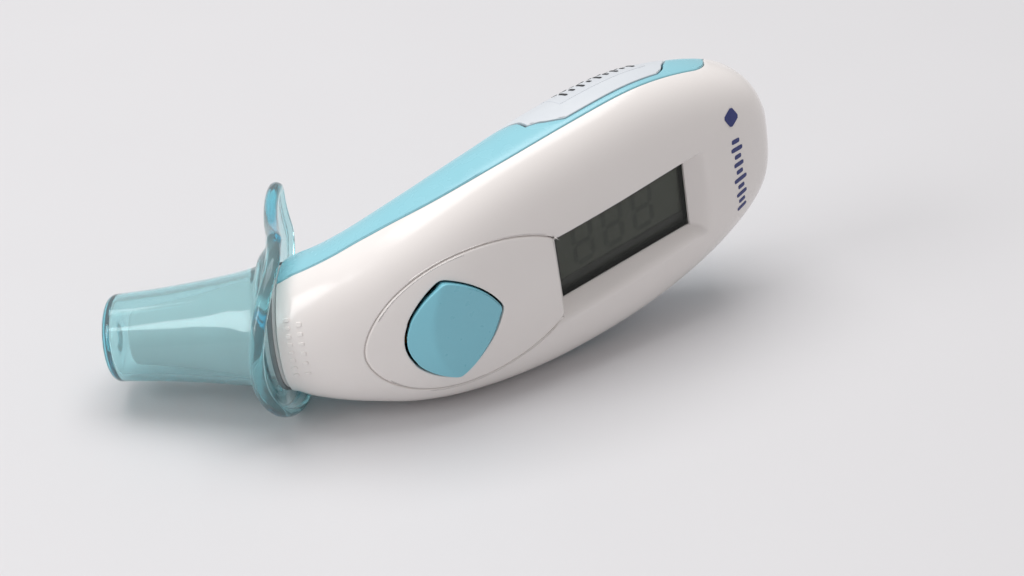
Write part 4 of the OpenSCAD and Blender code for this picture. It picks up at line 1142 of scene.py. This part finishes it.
# %% Finishes and bodies of the pieces
PIECES = (
    (front_shell, white_abs, "housing", "front_shell", ("front_shell", "display_bezel")),
    (sill, white_abs, "housing", "display_bezel", ()),
    (back_shell, aqua_abs, "housing", "back_shell", ("back_shell",)),
    (panel, white_abs, "housing", "button_panel", ("button_panel",)),
    (ledge, white_abs, "housing", "front_shell", ()),
    # The black sheet behind the window: printed mask, and painted shade along its bottom.
    (mask_and_shade, mask_ink_and_painted_shade, "housing", "lcd_glass", ()),
    (ghosts, None, "housing", "lcd_glass", ()),
    (print_bars, None, "housing", "front_shell", ()),
    (print_dot, None, "housing", "front_shell", ()),
    (neck_marks, None, "housing", "front_shell", ()),
    (nose, nose_abs, "housing", "probe_nose", ("probe_nose",)),
    (button, teal_abs, "button", "button", ("button",)),
    (cap, san_aqua, "probe_cap", "probe_cap", ("probe_cap",)),
    (door, door_abs, "battery_door", "battery_door", ("battery_door",)),
    (label, film, "battery_door", "door_label", ("door_label",)),
    (label_bars, None, "battery_door", "door_label", ()),
)
for piece, finish, body, slot_name, stands_for in PIECES:
    if finish:
        piece.data.materials.clear()
        piece.data.materials.append(finish)
    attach(piece, body)
    if stands_for:
        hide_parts(*stands_for)

NODE_FINISHES = {
    "display_lens": pmma_lens, "lens_gasket": black_rubber, "lcd_glass": lcd_ground, "lcd_frame": frame_pom,
    "zebra_strips": black_rubber, "circuit_board": board, "switch_body": epoxy, "microcontroller": epoxy,
    "chip_parts": ceramic, "crystal": steel, "buzzer": epoxy, "probe_window": germanium, "tip_ring": chrome,
    "seal_ring": grey_rubber, "waveguide": gold, "sensor_holder": aluminium, "sensor_can": steel,
    "sensor_leads": gold, "sensor_board": board, "sensor_ribbon": ribbon, "battery_tray": tray_abs,
    "contact_plates": nickel, "contact_springs": nickel, "cell_a": sleeve, "cell_b": sleeve,
    "screw_posts": tray_abs, "shell_screws": steel, "switch_plunger": contact_pom, "door_screw": steel,
}
for name, finish in NODE_FINISHES.items():
    for held in nodes[name].material_slots:
        held.material = finish
dressed = set(NODE_FINISHES) | {n for p in PIECES for n in p[4]}
print("nodes without a finish:", sorted(set(nodes) - dressed))

# %% [markdown]
# ## Floor, light and camera
# The instrument lies on a plain pale table under soft studio light: one broad softbox above
# and behind, a weaker one on the probe side, and a dim room all round. The display side looks
# at the table and the dim room, so it falls to a warm grey while the upper edge stays white.

# %% Floor
FLOOR_SIZE, FLOOR_CUTS = 3.0, 24
bm = bmesh.new()
bmesh.ops.create_grid(bm, x_segments=FLOOR_CUTS, y_segments=FLOOR_CUTS, size=FLOOR_SIZE / 2)
floor_mesh = bpy.data.meshes.new("floor")
bm.to_mesh(floor_mesh)
bm.free()
floor = bpy.data.objects.new("floor", floor_mesh)
bpy.context.scene.collection.objects.link(floor)
laminate = surface("laminate_pale", "#d5d4d6", "#d9d8da", 160, 0.5, 0.03, 0.002, IOR=1.45)
floor.data.materials.append(laminate)

# %% Softboxes and room
def softbox(name, place, size, watts, colour, target=(0, 0, 0.02)):
    light = bpy.data.lights.new(name, "AREA")
    light.shape, light.size, light.size_y = "RECTANGLE", size[0], size[1]
    light.energy, light.color = watts, lin(colour)[:3]
    lamp = bpy.data.objects.new(name, light)
    lamp.location = place
    aim = Vector(target) - Vector(place)
    lamp.rotation_euler = aim.to_track_quat("-Z", "Y").to_euler()
    bpy.context.scene.collection.objects.link(lamp)
    return lamp


softbox("softbox_above", (0.05, 0.16, 0.75), (0.75, 0.55), 4.3, "#ffffff")
softbox("softbox_left", (-0.75, 0.1, 0.45), (0.35, 0.5), 2.5, "#ffffff")
world = bpy.data.worlds.new("room")
world.use_nodes = True
world.node_tree.nodes["Background"].inputs[0].default_value = lin("#eae8e8")
world.node_tree.nodes["Background"].inputs[1].default_value = 0.53
bpy.context.scene.world = world
bpy.context.scene.view_settings.view_transform = "Standard"

# %% Camera
CAMERA_RIGHT = np.array([0.791854, -0.595823, -0.13402])
CAMERA_UP = np.array([0.457451, 0.433289, 0.77653])
CAMERA_BACK = np.array([-0.404605, -0.676207, 0.615661])
CAMERA_PLACE = np.array([-122.592841, -276.64677, 234.350001])
lens = bpy.data.cameras.new("camera")
lens.lens, lens.sensor_width = 84.375, 36.0
lens.clip_start, lens.clip_end = 0.01, 20
camera = bpy.data.objects.new("camera", lens)
turn = REST_TURN @ np.stack([CAMERA_RIGHT, CAMERA_UP, CAMERA_BACK], -1)
camera.matrix_world = Matrix.Translation(Vector(lay(CAMERA_PLACE))) @ Matrix(turn.tolist()).to_4x4()
bpy.context.scene.collection.objects.link(camera)
bpy.context.scene.camera = camera
print("camera at", [round(v, 3) for v in camera.location])
